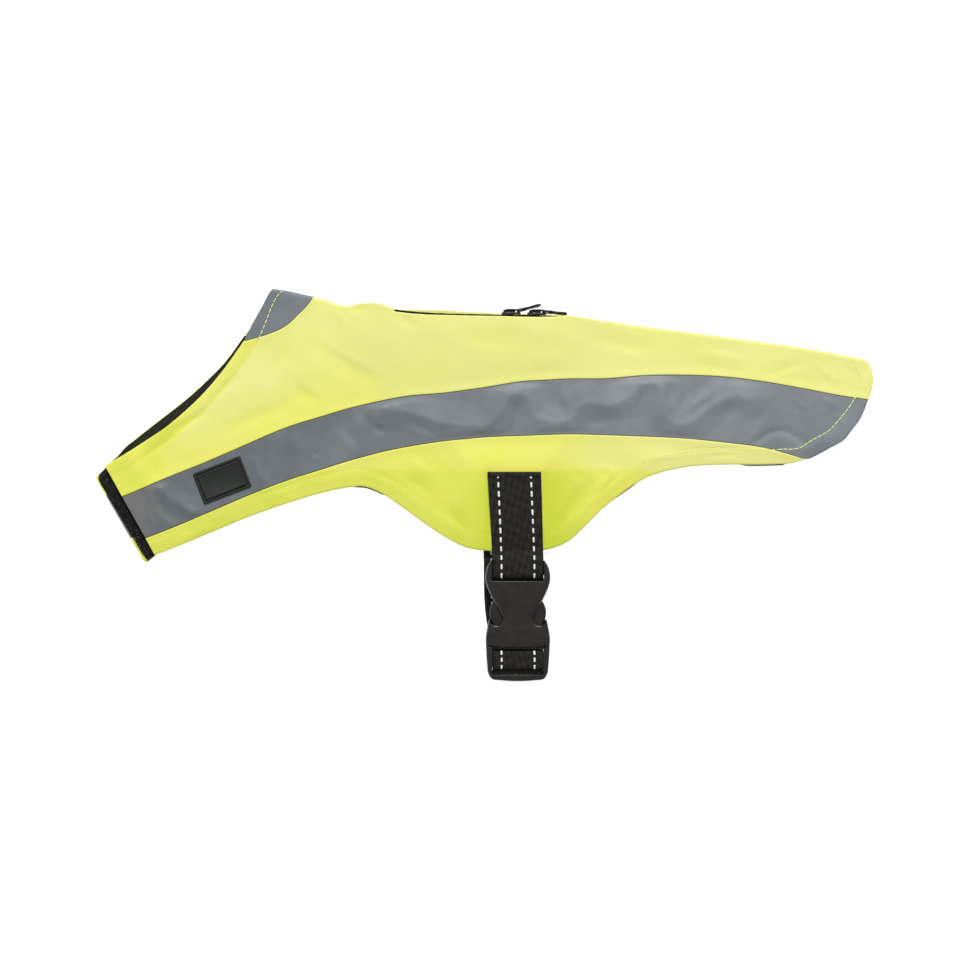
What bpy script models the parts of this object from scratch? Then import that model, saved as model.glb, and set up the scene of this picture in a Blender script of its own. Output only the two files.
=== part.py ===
"""Dog safety vest, laid flat on its right side and folded along the spine.

The neck points to -X, the tail to +X, the spine to +Y, and the left side faces up (+Z). Every
length below is in millimetres, and becomes metres when a mesh is made. The origin is under the
middle of the vest, on the surface it lies on.
"""

from math import cos, pi, radians, sin, sqrt

import bmesh
import bpy
from mathutils import Vector

MM = 0.001

CLOTH = 1.0  # thickness of the outer cloth and of the lining
GAP = 0.3  # between pieces that touch
SEAM_GAP = 0.4  # between the sewn pieces of a side

# One row for each section across the garment, from the chest to the tail.
SECTION_COLUMNS = ("x", "strip_top", "strip_bottom", "hem")
SECTIONS = (
    (-190, -8.5, -34.0, -43.5),
    (-180, -5.2, -30.5, -40.0),
    (-160, 3.3, -23.0, -33.0),
    (-140, 11.3, -14.6, -24.8),
    (-120, 20.0, -6.0, -16.5),
    (-100, 28.5, 1.8, -9.3),
    (-80, 34.8, 8.2, -3.4),
    (-70, 37.8, 11.4, -1.3),
    (-60, 40.3, 14.2, -0.8),
    (-50, 42.5, 16.8, -5.0),
    (-40, 44.3, 18.8, -12.0),
    (-20, 46.1, 21.9, -25.8),
    (-10, 47.4, 22.9, -31.0),
    (0, 48.8, 23.8, -32.7),
    (20, 51.9, 24.6, -32.9),
    (30, 52.4, 25.0, -32.4),
    (40, 53.0, 25.3, -29.0),
    (60, 53.2, 24.9, -10.6),
    (80, 54.8, 24.2, 3.4),
    (100, 55.0, 23.2, 9.0),
    (120, 54.1, 21.2, 10.3),
    (140, 51.6, 18.5, 10.3),
    (160, 48.1, 12.7, 11.2),
    (180, 44.3, 5.0, 12.5),
    (192, 42.6, 1.0, 13.0),
)
SPINE_COLUMNS = ("x", "y")
SPINE = (
    (-106.5, 98.4),
    (-100, 97.6),
    (-90, 95.4),
    (-80, 93.0),
    (-70, 89.9),
    (-61, 91.1),
    (-50, 90.4),
    (-40, 87.2),
    (-30, 86.2),
    (0, 85.1),
    (40, 84.4),
    (60, 82.4),
    (80, 79.5),
    (120, 74.3),
    (160, 68.6),
    (190, 63.2),
)
# The left neck edge, and how far the right one stands out beyond it.
NECK_COLUMNS = ("x", "y", "gape")
NECK = (
    (-190, 9.4, -1.0),
    (-180, 15.3, 3.5),
    (-170, 21.8, 5.5),
    (-160, 28.5, 6.6),
    (-150, 36.8, 6.2),
    (-140, 46.5, 5.5),
    (-130, 58.5, 3.8),
    (-119, 73.4, 3.4),
)
NAPE_EDGE = ((-119, 73.4), (-117.6, 78.4), (-113.2, 86.5), (-110, 92), (-106.5, 98.0))
NAPE_SEAM = (
    (-119, 73.4),
    (-115, 74.0),
    (-110, 75.5),
    (-105, 77.6),
    (-100, 80.3),
    (-95, 84.2),
    (-90, 88.7),
    (-86.5, 93.0),
)
TAIL_EDGE = ((186.5, 63.7), (191.2, 61.6), (193.4, 57.5), (194.0, 51.0), (191.6, 42.8))
TAIL_CORNER = (
    (191.6, 42.8),
    (189.6, 37.5),
    (185.4, 29.3),
    (178.8, 21.6),
    (167.2, 15.1),
    (159.2, 12.2),
)

# The left chest end, and the right one, which reaches further forward.
CHEST_END_LEFT = (Vector((-189.9, 9.2)), Vector((-165.3, -34.3)))
CHEST_END_RIGHT = (Vector((-194.0, 4.0)), Vector((-169.3, -38.3)))
RIGHT_NECK_START = Vector((-190.2, 8.9))  # the right end's corners are cut off
RIGHT_HEM_START = Vector((-167.2, -37.8))
HEM_REAR = -163.0  # where the right hem is level with the left one again
RIGHT_INSET = 0.6  # the left side covers the right one by this much along the hem and tail
NAPE_REAR_X = -88.2
SIDE_TIP_X = 157.6
SEAM_LEAD = 3.5  # how much higher the right side's seams end at the chest
SEAM_LEAD_REACH = (-190.0, -120.0)

# Heights. All are of the middle of a cloth.
RIGHT_OUTER_Z = 0.5
RIGHT_LINING_Z = 2.0
LEFT_HEM_Z = 3.3
LEFT_FILL = 1.0  # how much higher the left side lies away from its hem
HEM_REACH = 12.0
CHEST_LIFT = 1.3  # the left chest end lies on the hook tape
STRAP_LIFT = 1.6  # everything lies over the right strap
STRAP_ZONE = ((-5.0, 27.0), (-42.0, 9.0))
STRAP_ZONE_REACH = 15.0

# The fold along the spine.
FOLD_Z = 4.6
FOLD_SEAM_LEFT_Z = 2.7
FOLD_SEAM_RIGHT_Z = 1.5
FOLD_RADIUS_LEFT = 2.2
FOLD_RADIUS_RIGHT = 1.3
FOLD_REACH = 34.0
ZIP_FOLD_Z = 8.5
ZIP_ENDS = (-44.0, 38.0)
ZIP_END_REACH = 7.0
RIGHT_FLAP = 1.7  # how far the right flap stands out beyond the left one at the zip

# The largest folds: middle, heading in degrees, half length, half width, height.
FOLD_COLUMNS = ("x", "y", "heading", "length", "width", "height")
FOLDS = (
    (-30, 29, -19, 13, 4.5, -0.7),
    (16, 35, 82, 11, 6.0, -0.7),
    (33, 40, 86, 10, 5.0, 0.6),
    (62, 34, 18, 15, 6.0, -0.9),
    (82, 45, 60, 9, 5.0, -0.7),
    (98, 32, 32, 13, 5.0, 0.8),
    (111, 42, 35, 15, 7.0, 0.5),
    (152, 26, 10, 9, 4.0, -0.6),
    (-74, 63, -23, 18, 7.0, -0.7),
    (-89, 49, 10, 12, 6.0, -0.6),
    (-9, -14, 68, 14, 5.0, -0.6),
    (45, -6, 60, 14, 5.0, -0.7),
    (58, 6, -25, 10, 4.0, 0.5),
    (-12, 14, 88, 8, 6.0, 0.5),
)

# Zip.
ZIP_TILT = radians(8)
ZIP_Z = 4.5
ZIP_BACK = 0.2  # how far its middle lies behind the left flap's edge
COIL = (1.95, 0.75)  # half width and half height
TAPE_INNER = 2.27
TAPE_OUTER = 3.05
SLIDER_LENGTH = 9.6
SLIDER_HALF_WIDTH = 3.0
SLIDER_REARS = {"front": 17.8, "rear": 30.6}
PLATE = (1.05, 1.6)
PIN_HEIGHT = 2.35
ARCH = (3.1, 3.55)
ARCH_HALF_WIDTH = 0.8
PIN_INSET = 1.6  # from the slider's rear end
WEDGE = (3.2, 6.2)  # the post between its plates, from its front end
PIN_RADIUS = 0.4
PULL_LENGTH = 12.2
PULL_HALF_WIDTH = 2.3
PULL_THICKNESS = 0.8
PULL_RAISED = {"front": radians(18), "rear": 0.0}

# Webbing and buckle.
WEBBING = 1.3
WEBBING_HALF_WIDTH = 12.75
STRAP_TOP_Y = 6.4
LEFT_STRAP_X = ((6.4, 14.6), (-31.0, 16.2), (-37.0, 16.4), (-48.0, 16.4))
RIGHT_STRAP_X = ((6.4, 11.0), (-33.0, 12.0), (-66.0, 13.2), (-84.0, 16.4), (-95.0, 16.4))
BUCKLE_X = 16.4
BUCKLE_Z = (3.2, 10.8)
BAR_LEFT_Z = (4.6, 7.2)
BAR_LEFT_Y = (-44.9, -37.8)
SLOT_LEFT_END = -47.9
BAR_RIGHT_Z = (5.0, 7.6)
BAR_RIGHT_Y = (-90.6, -84.2)
RAIL_TOP_Y = -92.9
PLUG_Y = (-81.9, -78.2)
RAIL_INNER = 13.1
FRAME_Z = (3.6, 9.2)
POCKET_Z = (5.0, 9.0)
ARM_Z = (5.3, 8.7)
# Half outlines, from the top of each shape down.
FEMALE_COLUMNS = ("half_width", "y")
FEMALE = (
    (13.4, -37.8),
    (14.8, -39.8),
    (15.9, -43.2),
    (16.2, -47.0),
    (15.4, -50.6),
    (13.8, -54.4),
    (12.1, -57.8),
    (9.6, -62.0),
    (7.8, -65.5),
    (7.0, -68.6),
    (8.6, -70.2),
    (11.2, -70.9),
    (13.0, -70.2),
    (14.2, -67.6),
    (15.3, -71.6),
    (16.1, -77.0),
    (16.0, -79.8),
    (8.0, -81.3),
)
LOBE_COLUMNS = ("half_width", "y")
LOBE = (
    (9.0, -57.2),
    (11.6, -57.4),
    (13.2, -59.6),
    (14.1, -62.8),
    (13.9, -65.9),
    (12.6, -68.5),
    (11.0, -69.8),
)
FRAME_COLUMNS = ("half_width", "y")
FRAME = (
    (12.6, -80.95),
    (15.9, -80.25),
    (15.8, -84.0),
    (15.1, -93.5),
    (13.6, -97.0),
    (8.0, -97.9),
)

# The rubber patch.
PATCH_MIDDLE = (-131.4, 2.4)
PATCH_SIZE = (24.5, 16.0)
PATCH_TURN = radians(21)
PATCH_FLANGE = 0.8
PATCH_RIM = 1.5
PATCH_RIM_INSET = 0.9
PATCH_CORNER = 1.2

# The hook tape on the right chest end.
HOOK_WIDTH = 18.0
HOOK_Z = 3.3

# The lining's edges.
LINING_NECK_INSET = 0.6
LINING_SPINE_INSET = 7.0
LINING_HEM_INSET = 0.4
LINING_NAPE = ((-119, 76.0), (-113, 83.0), (-106.5, 91.4))

STEP = 9.0  # spacing of a panel's sections
YELLOW = (0.78, 0.83, 0.12)
REFLECTIVE = (0.20, 0.21, 0.22)
BLACK_CLOTH = (0.02, 0.02, 0.021)
BLACK_PLASTIC = (0.035, 0.035, 0.035)


# ---- curves ---------------------------------------------------------------------------------


def smooth_curve(rows, column=1):
    """A function of x through the rows, straight on beyond the first and the last."""
    xs = [row[0] for row in rows]
    ys = [row[column] for row in rows]
    slopes = [(ys[i + 1] - ys[i]) / (xs[i + 1] - xs[i]) for i in range(len(xs) - 1)]
    tangents = [slopes[0]]
    for i in range(1, len(xs) - 1):
        before, after = xs[i] - xs[i - 1], xs[i + 1] - xs[i]
        tangents.append((slopes[i - 1] * after + slopes[i] * before) / (before + after))
    tangents.append(slopes[-1])

    def value(x):
        if x <= xs[0]:
            return ys[0] + tangents[0] * (x - xs[0])
        if x >= xs[-1]:
            return ys[-1] + tangents[-1] * (x - xs[-1])
        i = next(k for k in range(len(xs) - 1) if x <= xs[k + 1])
        span = xs[i + 1] - xs[i]
        t = (x - xs[i]) / span
        return (
            ys[i] * (1 + 2 * t) * (1 - t) ** 2
            + tangents[i] * span * t * (1 - t) ** 2
            + ys[i + 1] * t * t * (3 - 2 * t)
            + tangents[i + 1] * span * t * t * (t - 1)
        )

    return value


def through(points):
    """A function of s from 0 to 1 along an open curve through the points."""
    lengths = [0.0]
    for a, b in zip(points, points[1:]):
        lengths.append(lengths[-1] + sqrt((b[0] - a[0]) ** 2 + (b[1] - a[1]) ** 2))
    x_of = smooth_curve([(at, p[0]) for at, p in zip(lengths, points)])
    y_of = smooth_curve([(at, p[1]) for at, p in zip(lengths, points)])
    return lambda s: Vector((x_of(s * lengths[-1]), y_of(s * lengths[-1])))


def straight(a, b):
    return lambda s: Vector(a).lerp(Vector(b), s)


def bent(points, marks):
    """A function of s along straight lines, with a corner at each of the marks."""
    x_marks = list(zip(marks, points))

    def at(s):
        for (s0, a), (s1, b) in zip(x_marks, x_marks[1:]):
            if s <= s1:
                return Vector(a).lerp(Vector(b), (s - s0) / (s1 - s0))
        return Vector(points[-1])

    return at


def graph(y_of, x0, x1):
    """A function of s from 0 to 1 along the curve y_of between two x."""
    return lambda s: Vector((x0 + (x1 - x0) * s, y_of(x0 + (x1 - x0) * s)))


def shifted(y_of, by):
    return lambda x: y_of(x) + by


def meets(y_of, end):
    """The x where a curve meets the straight line of a chest end."""
    a, b = end
    x = a.x
    for _ in range(20):
        x = a.x + (b.x - a.x) * (a.y - y_of(x)) / (a.y - b.y)
    return x


def ease(t):
    t = min(1.0, max(0.0, t))
    return t * t * (3 - 2 * t)


strip_top = smooth_curve(SECTIONS, SECTION_COLUMNS.index("strip_top"))
strip_bottom = smooth_curve(SECTIONS, SECTION_COLUMNS.index("strip_bottom"))
hem = smooth_curve(SECTIONS, SECTION_COLUMNS.index("hem"))
spine = smooth_curve(SPINE)
neck = smooth_curve(NECK)
gape = smooth_curve(NECK, NECK_COLUMNS.index("gape"))
nape_seam = smooth_curve(NAPE_SEAM)
NECK_END_X, NAPE_END_X = NAPE_SEAM[0][0], NAPE_REAR_X + 0.9


def seam_lead(x):
    near, far = SEAM_LEAD_REACH
    return SEAM_LEAD * min(1.0, max(0.0, (far - x) / (far - near)))


def right_nape_seam(x):
    return nape_seam(x) + NECK[-1][2] * (NAPE_END_X - x) / (NAPE_END_X - NECK_END_X)


# ---- heights --------------------------------------------------------------------------------


def zipness(x):
    front, rear = ZIP_ENDS
    return min(ease((x - front) / ZIP_END_REACH + 1), ease((rear - x) / ZIP_END_REACH + 1))


def strap_zone(x, y):
    (x0, x1), (y0, y1) = STRAP_ZONE
    away = max(x0 - x, x - x1, y0 - y, y - y1, 0.0)
    return 1 - ease(away / STRAP_ZONE_REACH)


def from_chest_end(x, y):
    a, b = CHEST_END_RIGHT
    along = (b - a).normalized()
    return (Vector((x, y)) - a).dot(Vector((-along.y, along.x)))


def patch_zone(x, y):
    away = (Vector((x, y)) - Vector(PATCH_MIDDLE)).length
    return 1 - ease((away - PATCH_SIZE[0] * 0.6) / 8)


def fold_height(x, y):
    total = 0.0
    for fold in FOLDS:
        at = dict(zip(FOLD_COLUMNS, fold))
        turn = radians(at["heading"])
        dx, dy = x - at["x"], y - at["y"]
        u = (dx * cos(turn) + dy * sin(turn)) / at["length"]
        v = (dy * cos(turn) - dx * sin(turn)) / at["width"]
        if abs(u) < 1 and abs(v) < 1:
            total += at["height"] * (1 - u * u) ** 2 * (1 - v * v) ** 2
    return total * (1 - strap_zone(x, y)) * (1 - patch_zone(x, y))


def left_edge_y(x):
    """The y of the left back's edge along the spine, in the middle of its cloth."""
    return spine(x) - CLOTH / 2 * (1 - zipness(x))


def right_edge_y(x):
    return spine(x) - CLOTH / 2 * (1 - zipness(x)) + RIGHT_FLAP * zipness(x)


def curl(inward, radius):
    q = min(1.0, max(0.0, inward / radius))
    return sqrt(1 - (1 - q) ** 2)


def left_z(x, y):
    """Height of the left side's cloth."""
    level = LEFT_HEM_Z + LEFT_FILL * ease((y - hem(x)) / HEM_REACH + 0.15)
    level += CHEST_LIFT * (1 - ease((from_chest_end(x, y) - HOOK_WIDTH - 1) / 10))
    level += STRAP_LIFT * strap_zone(x, y) + fold_height(x, y)
    if x < NAPE_EDGE[0][0]:
        return level
    onset = ease((x - NAPE_EDGE[0][0]) / 14)
    crest = FOLD_Z + (ZIP_FOLD_Z - FOLD_Z) * zipness(x)
    edge = FOLD_SEAM_LEFT_Z + (ZIP_FOLD_Z - FOLD_SEAM_LEFT_Z) * zipness(x)
    inward = max(0.0, left_edge_y(x) - y)
    if inward < FOLD_RADIUS_LEFT:
        top = edge + (crest - edge) * curl(inward, FOLD_RADIUS_LEFT)
    else:
        top = crest
    away = ease((inward - FOLD_RADIUS_LEFT) / FOLD_REACH)
    return level + (top - level) * (1 - away) * onset


def right_z(x, y):
    """Height of the right side's outer cloth."""
    level = RIGHT_OUTER_Z + STRAP_LIFT * strap_zone(x, y)
    if x < NAPE_EDGE[0][0]:
        return level
    rise = (FOLD_SEAM_RIGHT_Z - RIGHT_OUTER_Z) * (1 - zipness(x))
    inward = max(0.0, right_edge_y(x) - y)
    return level + rise * (1 - curl(inward, FOLD_RADIUS_RIGHT))


def lining_z(x, y):
    return RIGHT_LINING_Z + STRAP_LIFT * strap_zone(x, y)


# ---- making solids --------------------------------------------------------------------------


def material(name, colour, roughness, metallic=0.0):
    paint = bpy.data.materials.new(name)
    paint.use_nodes = True
    shader = paint.node_tree.nodes["Principled BSDF"]
    shader.inputs["Base Color"].default_value = (*colour, 1)
    shader.inputs["Roughness"].default_value = roughness
    shader.inputs["Metallic"].default_value = metallic
    return paint


def solid(name, points, faces, paint, origin=Vector((0, 0, 0))):
    """A closed mesh object from points in millimetres, with its origin at a point."""
    mesh = bpy.data.meshes.new(name)
    mesh.from_pydata([(Vector(p) - origin) * MM for p in points], [], faces)
    work = bmesh.new()
    work.from_mesh(mesh)
    bmesh.ops.recalc_face_normals(work, faces=work.faces)
    work.to_mesh(mesh)
    work.free()
    obj = bpy.data.objects.new(name, mesh)
    obj.location = origin * MM
    bpy.context.scene.collection.objects.link(obj)
    if paint:
        mesh.materials.append(paint)
        mesh.shade_smooth()
        mesh.set_sharp_from_angle(angle=radians(40))
    else:
        obj.hide_render = True
        obj.display_type = "WIRE"
    return obj


def sheet(name, grid, thickness, paint):
    """A wall of even thickness on both sides of a grid of points."""
    columns, rows = len(grid), len(grid[0])

    def normal(i, j):
        along = grid[min(i + 1, columns - 1)][j] - grid[max(i - 1, 0)][j]
        across = grid[i][min(j + 1, rows - 1)] - grid[i][max(j - 1, 0)]
        return along.cross(across).normalized()

    upper, lower = [], []
    for i in range(columns):
        for j in range(rows):
            out = normal(i, j) * thickness / 2
            upper.append(grid[i][j] + out)
            lower.append(grid[i][j] - out)
    count = columns * rows
    faces = []
    for i in range(columns - 1):
        for j in range(rows - 1):
            a, b = i * rows + j, (i + 1) * rows + j
            faces.append((a, b, b + 1, a + 1))
            faces.append((count + a + 1, count + b + 1, count + b, count + a))
    rim = [i * rows for i in range(columns)]
    rim += [(columns - 1) * rows + j for j in range(1, rows)]
    rim += [i * rows + rows - 1 for i in range(columns - 2, -1, -1)]
    rim += [j for j in range(rows - 2, 0, -1)]
    for a, b in zip(rim, rim[1:] + rim[:1]):
        faces.append((a, count + a, count + b, b))
    return solid(name, upper + lower, faces, paint)


def stops(ends, kinks=(), step=STEP, fine=None):
    """Fractions from 0 to 1 between two x, evenly spaced between the kinks.

    fine is (x0, x1, step) for a part of the way that has closer spacing.
    """
    x0, x1 = ends
    if fine:
        kinks = sorted((*kinks, *fine[:2]))
    marks = [x0, *[k for k in kinks if x0 < k < x1], x1]
    found = [0.0]
    for a, b in zip(marks, marks[1:]):
        close = fine and fine[0] <= (a + b) / 2 <= fine[1]
        parts = max(1, round((b - a) / (fine[2] if close else step)))
        found += [(a + (b - a) * k / parts - x0) / (x1 - x0) for k in range(1, parts + 1)]
    return found


def even_rows(count):
    return lambda width: [k / count for k in range(count + 1)]


def set_rows(*fractions):
    return lambda width: fractions


def fold_rows(count):
    """Rows that crowd together at the fold along the first edge."""
    near = (0.0, 0.12, 0.5, 1.2, 2.2, 5.0)

    def rows(width):
        first = [d / max(width, near[-1] * 1.6) for d in near]
        rest = [first[-1] + (1 - first[-1]) * k / count for k in range(1, count + 1)]
        return first + rest

    return rows


def panel(edges, fractions, rows, z_of):
    """A grid of points that fills the space between four edges: top, bottom, start and end."""
    top, bottom, start, end = edges
    grid = []
    for s in fractions:
        a, b = top(s), bottom(s)
        column = []
        for v in rows((a - b).length):
            p = a.lerp(b, v)
            p += (start(v) - top(0).lerp(bottom(0), v)) * (1 - s) ** 6
            p += (end(v) - top(1).lerp(bottom(1), v)) * s**6
            column.append(Vector((p.x, p.y, z_of(p.x, p.y))))
        grid.append(column)
    return grid


# ---- cloth ----------------------------------------------------------------------------------


STRAP_STATIONS = (-24, 46, 5.0)  # closer sections where the cloth climbs over the strap
NAPE_STATIONS = (NECK_END_X, NAPE_REAR_X + 0.3, 4.4)
SIDE_ROWS = set_rows(0, 0.1, 0.22, 0.34, 0.5, 0.75, 1)
LINING_ROWS = set_rows(0, 0.22, 0.42, 0.5, 0.56, 0.62, 0.69, 0.83, 1)
LINING_CORNER_ROWS = (0, 0.22, 0.83, 1)


def joined(points, first, last):
    """An edge through the points, but with these ends."""
    return through([first, *points[1:-1], last])


def flap(top, bottom, start=None, end=None):
    """The four edges of a panel, straight where no start or end is given."""
    start = start or straight(top(0), bottom(0))
    end = end or straight(top(1), bottom(1))
    return top, bottom, start, end


def nape_edges(seam, edge_y, front, gap):
    """The nape piece: the fold, its seam to the back, the neck edge and a blunt rear tip."""
    tip, corner = Vector(front[-1]), Vector(front[0])
    rest = graph(edge_y, tip.x, NAPE_REAR_X)

    def lower(x):
        return seam(x) + gap + 0.2 * ease((x - NAPE_REAR_X + 5) / 4)

    below = graph(lower, corner.x, NAPE_REAR_X)

    def above(s):
        return rest(s) if s > 0 else tip

    return flap(above, below, joined(front[::-1], tip, below(0)))


def make_left_cloth():
    half = SEAM_GAP / 2
    nape_gap = 0.25
    yellow = material("hi_vis_left", YELLOW, 0.7)
    grey = material("reflective_left", REFLECTIVE, 0.45, 0.2)

    def top_y(x):
        if x < NECK_END_X:
            return neck(x)
        if x < NAPE_END_X - 0.01:
            return nape_seam(x) - nape_gap
        return left_edge_y(x)

    above, below = shifted(strip_top, half), shifted(strip_top, -half)
    x0, x1 = CHEST_END_LEFT[0].x, TAIL_EDGE[0][0]
    top = graph(top_y, x0, x1)
    bottom = graph(above, meets(above, CHEST_END_LEFT), TAIL_EDGE[-1][0])
    edges = flap(top, bottom, end=joined(TAIL_EDGE, top(1), bottom(1)))
    fractions = stops((x0, x1), (NAPE_END_X, *ZIP_ENDS), fine=NAPE_STATIONS)
    sheet("back_left", panel(edges, fractions, fold_rows(5), left_z), CLOTH, yellow)

    low = shifted(strip_bottom, half)
    top = graph(below, meets(below, CHEST_END_LEFT), TAIL_CORNER[0][0])
    bottom = graph(low, meets(low, CHEST_END_LEFT), TAIL_CORNER[-1][0])
    edges = flap(top, bottom, end=joined(TAIL_CORNER, top(1), bottom(1)))
    fractions = stops((x0, TAIL_CORNER[0][0]), step=8.0)
    sheet("strip_left", panel(edges, fractions, even_rows(5), left_z), CLOTH, grey)

    low = shifted(strip_bottom, -half)
    x0 = CHEST_END_LEFT[1].x
    top = graph(low, meets(low, CHEST_END_LEFT), SIDE_TIP_X)
    edges = flap(top, graph(hem, x0, SIDE_TIP_X + 1.0))
    grid = panel(edges, stops((x0, SIDE_TIP_X), fine=STRAP_STATIONS), SIDE_ROWS, left_z)
    sheet("side_left", grid, CLOTH, yellow)

    edges = nape_edges(nape_seam, left_edge_y, NAPE_EDGE, nape_gap)
    sheet("nape_left", panel(edges, even_rows(7)(1), fold_rows(3), left_z), CLOTH, grey)


def right_hem(x):
    return hem(x) + RIGHT_INSET


def right_top_y(x):
    """The upper edge of the right back, along the neck, the nape's seam and the spine."""
    if x < NECK_END_X:
        return neck(x) + gape(x)
    if x < NAPE_END_X - 0.01:
        return right_nape_seam(x) - 0.25
    return right_edge_y(x)


def along_hem(corner, rear, y_of, x1):
    """Along the hem from the chest end's corner, which lies below it, to x1."""

    def at(s):
        x = corner.x + (x1 - corner.x) * s
        drop = max(0.0, (rear - x) / (rear - corner.x))
        return Vector((x, y_of(x) + (corner.y - y_of(corner.x)) * drop))

    return at


def make_right_cloth():
    half = SEAM_GAP / 2
    yellow = material("hi_vis_right", YELLOW, 0.7)
    grey = material("reflective_right", REFLECTIVE, 0.45, 0.2)

    def seam_high(x):
        return strip_top(x) + seam_lead(x)

    def seam_low(x):
        return strip_bottom(x) + seam_lead(x)

    tail = [Vector(p) - Vector((RIGHT_INSET, 0)) for p in TAIL_EDGE]
    corner = [Vector(p) - Vector((RIGHT_INSET, -RIGHT_INSET)) for p in TAIL_CORNER]
    above, below = shifted(seam_high, half), shifted(seam_high, -half)
    x0 = RIGHT_NECK_START.x
    top = graph(right_top_y, x0, tail[0].x)
    bottom = graph(above, meets(above, CHEST_END_RIGHT), tail[-1].x)
    rows = fold_rows(3)
    corner_at = rows((top(0) - bottom(0)).length)[5]
    start = bent((top(0), CHEST_END_RIGHT[0], bottom(0)), (0, corner_at, 1))
    edges = flap(top, bottom, start, joined(tail, top(1), bottom(1)))
    fractions = stops((x0, tail[0].x), (NAPE_END_X, *ZIP_ENDS), fine=NAPE_STATIONS)
    sheet("back_right", panel(edges, fractions, rows, right_z), CLOTH, yellow)

    low = shifted(seam_low, half)
    front = meets(below, CHEST_END_RIGHT)
    top = graph(below, front, tail[-1].x)
    bottom = graph(low, meets(low, CHEST_END_RIGHT), corner[-1].x)
    edges = flap(top, bottom, end=joined(corner, top(1), bottom(1)))
    fractions = stops((front, tail[-1].x), step=9)
    sheet("strip_right", panel(edges, fractions, even_rows(2), right_z), CLOTH, grey)

    low = shifted(seam_low, -half)
    tip = SIDE_TIP_X - 1.0
    top = graph(low, meets(low, CHEST_END_RIGHT), tip)
    bottom = along_hem(RIGHT_HEM_START, HEM_REAR, right_hem, tip + 0.6)
    start = bent((top(0), CHEST_END_RIGHT[1], bottom(0)), (0, 0.75, 1))
    fractions = stops((RIGHT_HEM_START.x, tip), (HEM_REAR,), fine=STRAP_STATIONS)
    grid = panel(flap(top, bottom, start), fractions, SIDE_ROWS, right_z)
    sheet("side_right", grid, CLOTH, yellow)

    front_edge = [Vector(p) + Vector((0.3, 0)) for p in NAPE_EDGE]
    front_edge[0] = Vector((NECK_END_X + 0.4, right_nape_seam(NECK_END_X)))
    del front_edge[1]
    edges = nape_edges(right_nape_seam, right_edge_y, front_edge, 0.25)
    sheet("nape_right", panel(edges, even_rows(7)(1), fold_rows(2), right_z), CLOTH, grey)


def make_lining():
    """The black mesh lining of the right side, which shows along the neck and the chest end."""
    black = material("mesh_lining", BLACK_CLOTH, 0.9)
    nape_line = smooth_curve(LINING_NAPE)
    tail_line = smooth_curve(TAIL_CORNER[::-1])

    def upper(x):
        if x < NECK_END_X:
            return right_top_y(x) - LINING_NECK_INSET
        blend = ease((x - NECK_END_X) / 12)
        edge = nape_line(x) if x < NAPE_EDGE[-1][0] else spine(x) - LINING_SPINE_INSET
        return (right_top_y(NECK_END_X - 0.01) - LINING_NECK_INSET) * (1 - blend) + edge * blend

    def lower(x):
        if x < TAIL_CORNER[-1][0]:
            return right_hem(x) + LINING_HEM_INSET
        return tail_line(x) + RIGHT_INSET + LINING_HEM_INSET

    inward = Vector((0.6, 0.36))
    foot = RIGHT_HEM_START + Vector((0.4, 0.5))
    x0, x1, tail_x = RIGHT_NECK_START.x + 0.6, TAIL_EDGE[0][0] - 2, TAIL_CORNER[1][0] - 0.8
    top = graph(upper, x0, x1)
    bottom = along_hem(foot, HEM_REAR, lower, tail_x)
    a, b = CHEST_END_RIGHT
    start = bent((top(0), a + inward, b + inward, bottom(0)), LINING_CORNER_ROWS)
    end = through([top(1), (191.8, 55), bottom(1)])
    fractions = stops((x0, x1), (NECK_END_X,), fine=(-36, 38, 5.0))
    grid = panel(flap(top, bottom, start, end), fractions, LINING_ROWS, lining_z)
    sheet("lining_right", grid, CLOTH, black)


def make_hook_tape():
    a, b = CHEST_END_RIGHT
    along = (b - a).normalized()
    inward = Vector((-along.y, along.x))
    length = (b - a).length
    margin = 1.2
    grid = []
    for s in (0, 0.25, 0.5, 0.75, 1):
        foot = a + along * (margin + (length - 2 * margin) * s)
        grid.append([
            Vector((*(foot + inward * d), HOOK_Z)) for d in (1.0, HOOK_WIDTH / 2, HOOK_WIDTH)
        ])
    sheet("hook_tape_right", grid, CLOTH, material("hook_tape", BLACK_CLOTH, 0.95))


# ---- zip ------------------------------------------------------------------------------------


ZIP_OUT = Vector((0, cos(ZIP_TILT), sin(ZIP_TILT)))  # away from the zip's face
ZIP_UP = Vector((0, -sin(ZIP_TILT), cos(ZIP_TILT)))  # across the zip, to the left side


def zip_point(x, out=0.0, up=0.0, along_x=None):
    """A point by its place on the zip; along_x is where the zip's middle line is taken."""
    middle = spine(x if along_x is None else along_x) - ZIP_BACK
    return Vector((x, middle, ZIP_Z)) + ZIP_OUT * out + ZIP_UP * up


def zip_bar(name, x_ends, up_ends, out_ends, paint):
    """A bar along the zip with a rectangular section."""
    count = max(2, round((x_ends[1] - x_ends[0]) / 10))
    points, faces = [], []
    for k in range(count + 1):
        x = x_ends[0] + (x_ends[1] - x_ends[0]) * k / count
        for up, out in ((0, 0), (1, 0), (1, 1), (0, 1)):
            points.append(zip_point(x, out_ends[out], up_ends[up]))
    for k in range(count):
        for c in range(4):
            a, b = 4 * k + c, 4 * k + (c + 1) % 4
            faces.append((a, b, b + 4, a + 4))
    faces += [(3, 2, 1, 0), tuple(4 * count + c for c in range(4))]
    return solid(name, points, faces, paint)


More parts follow.
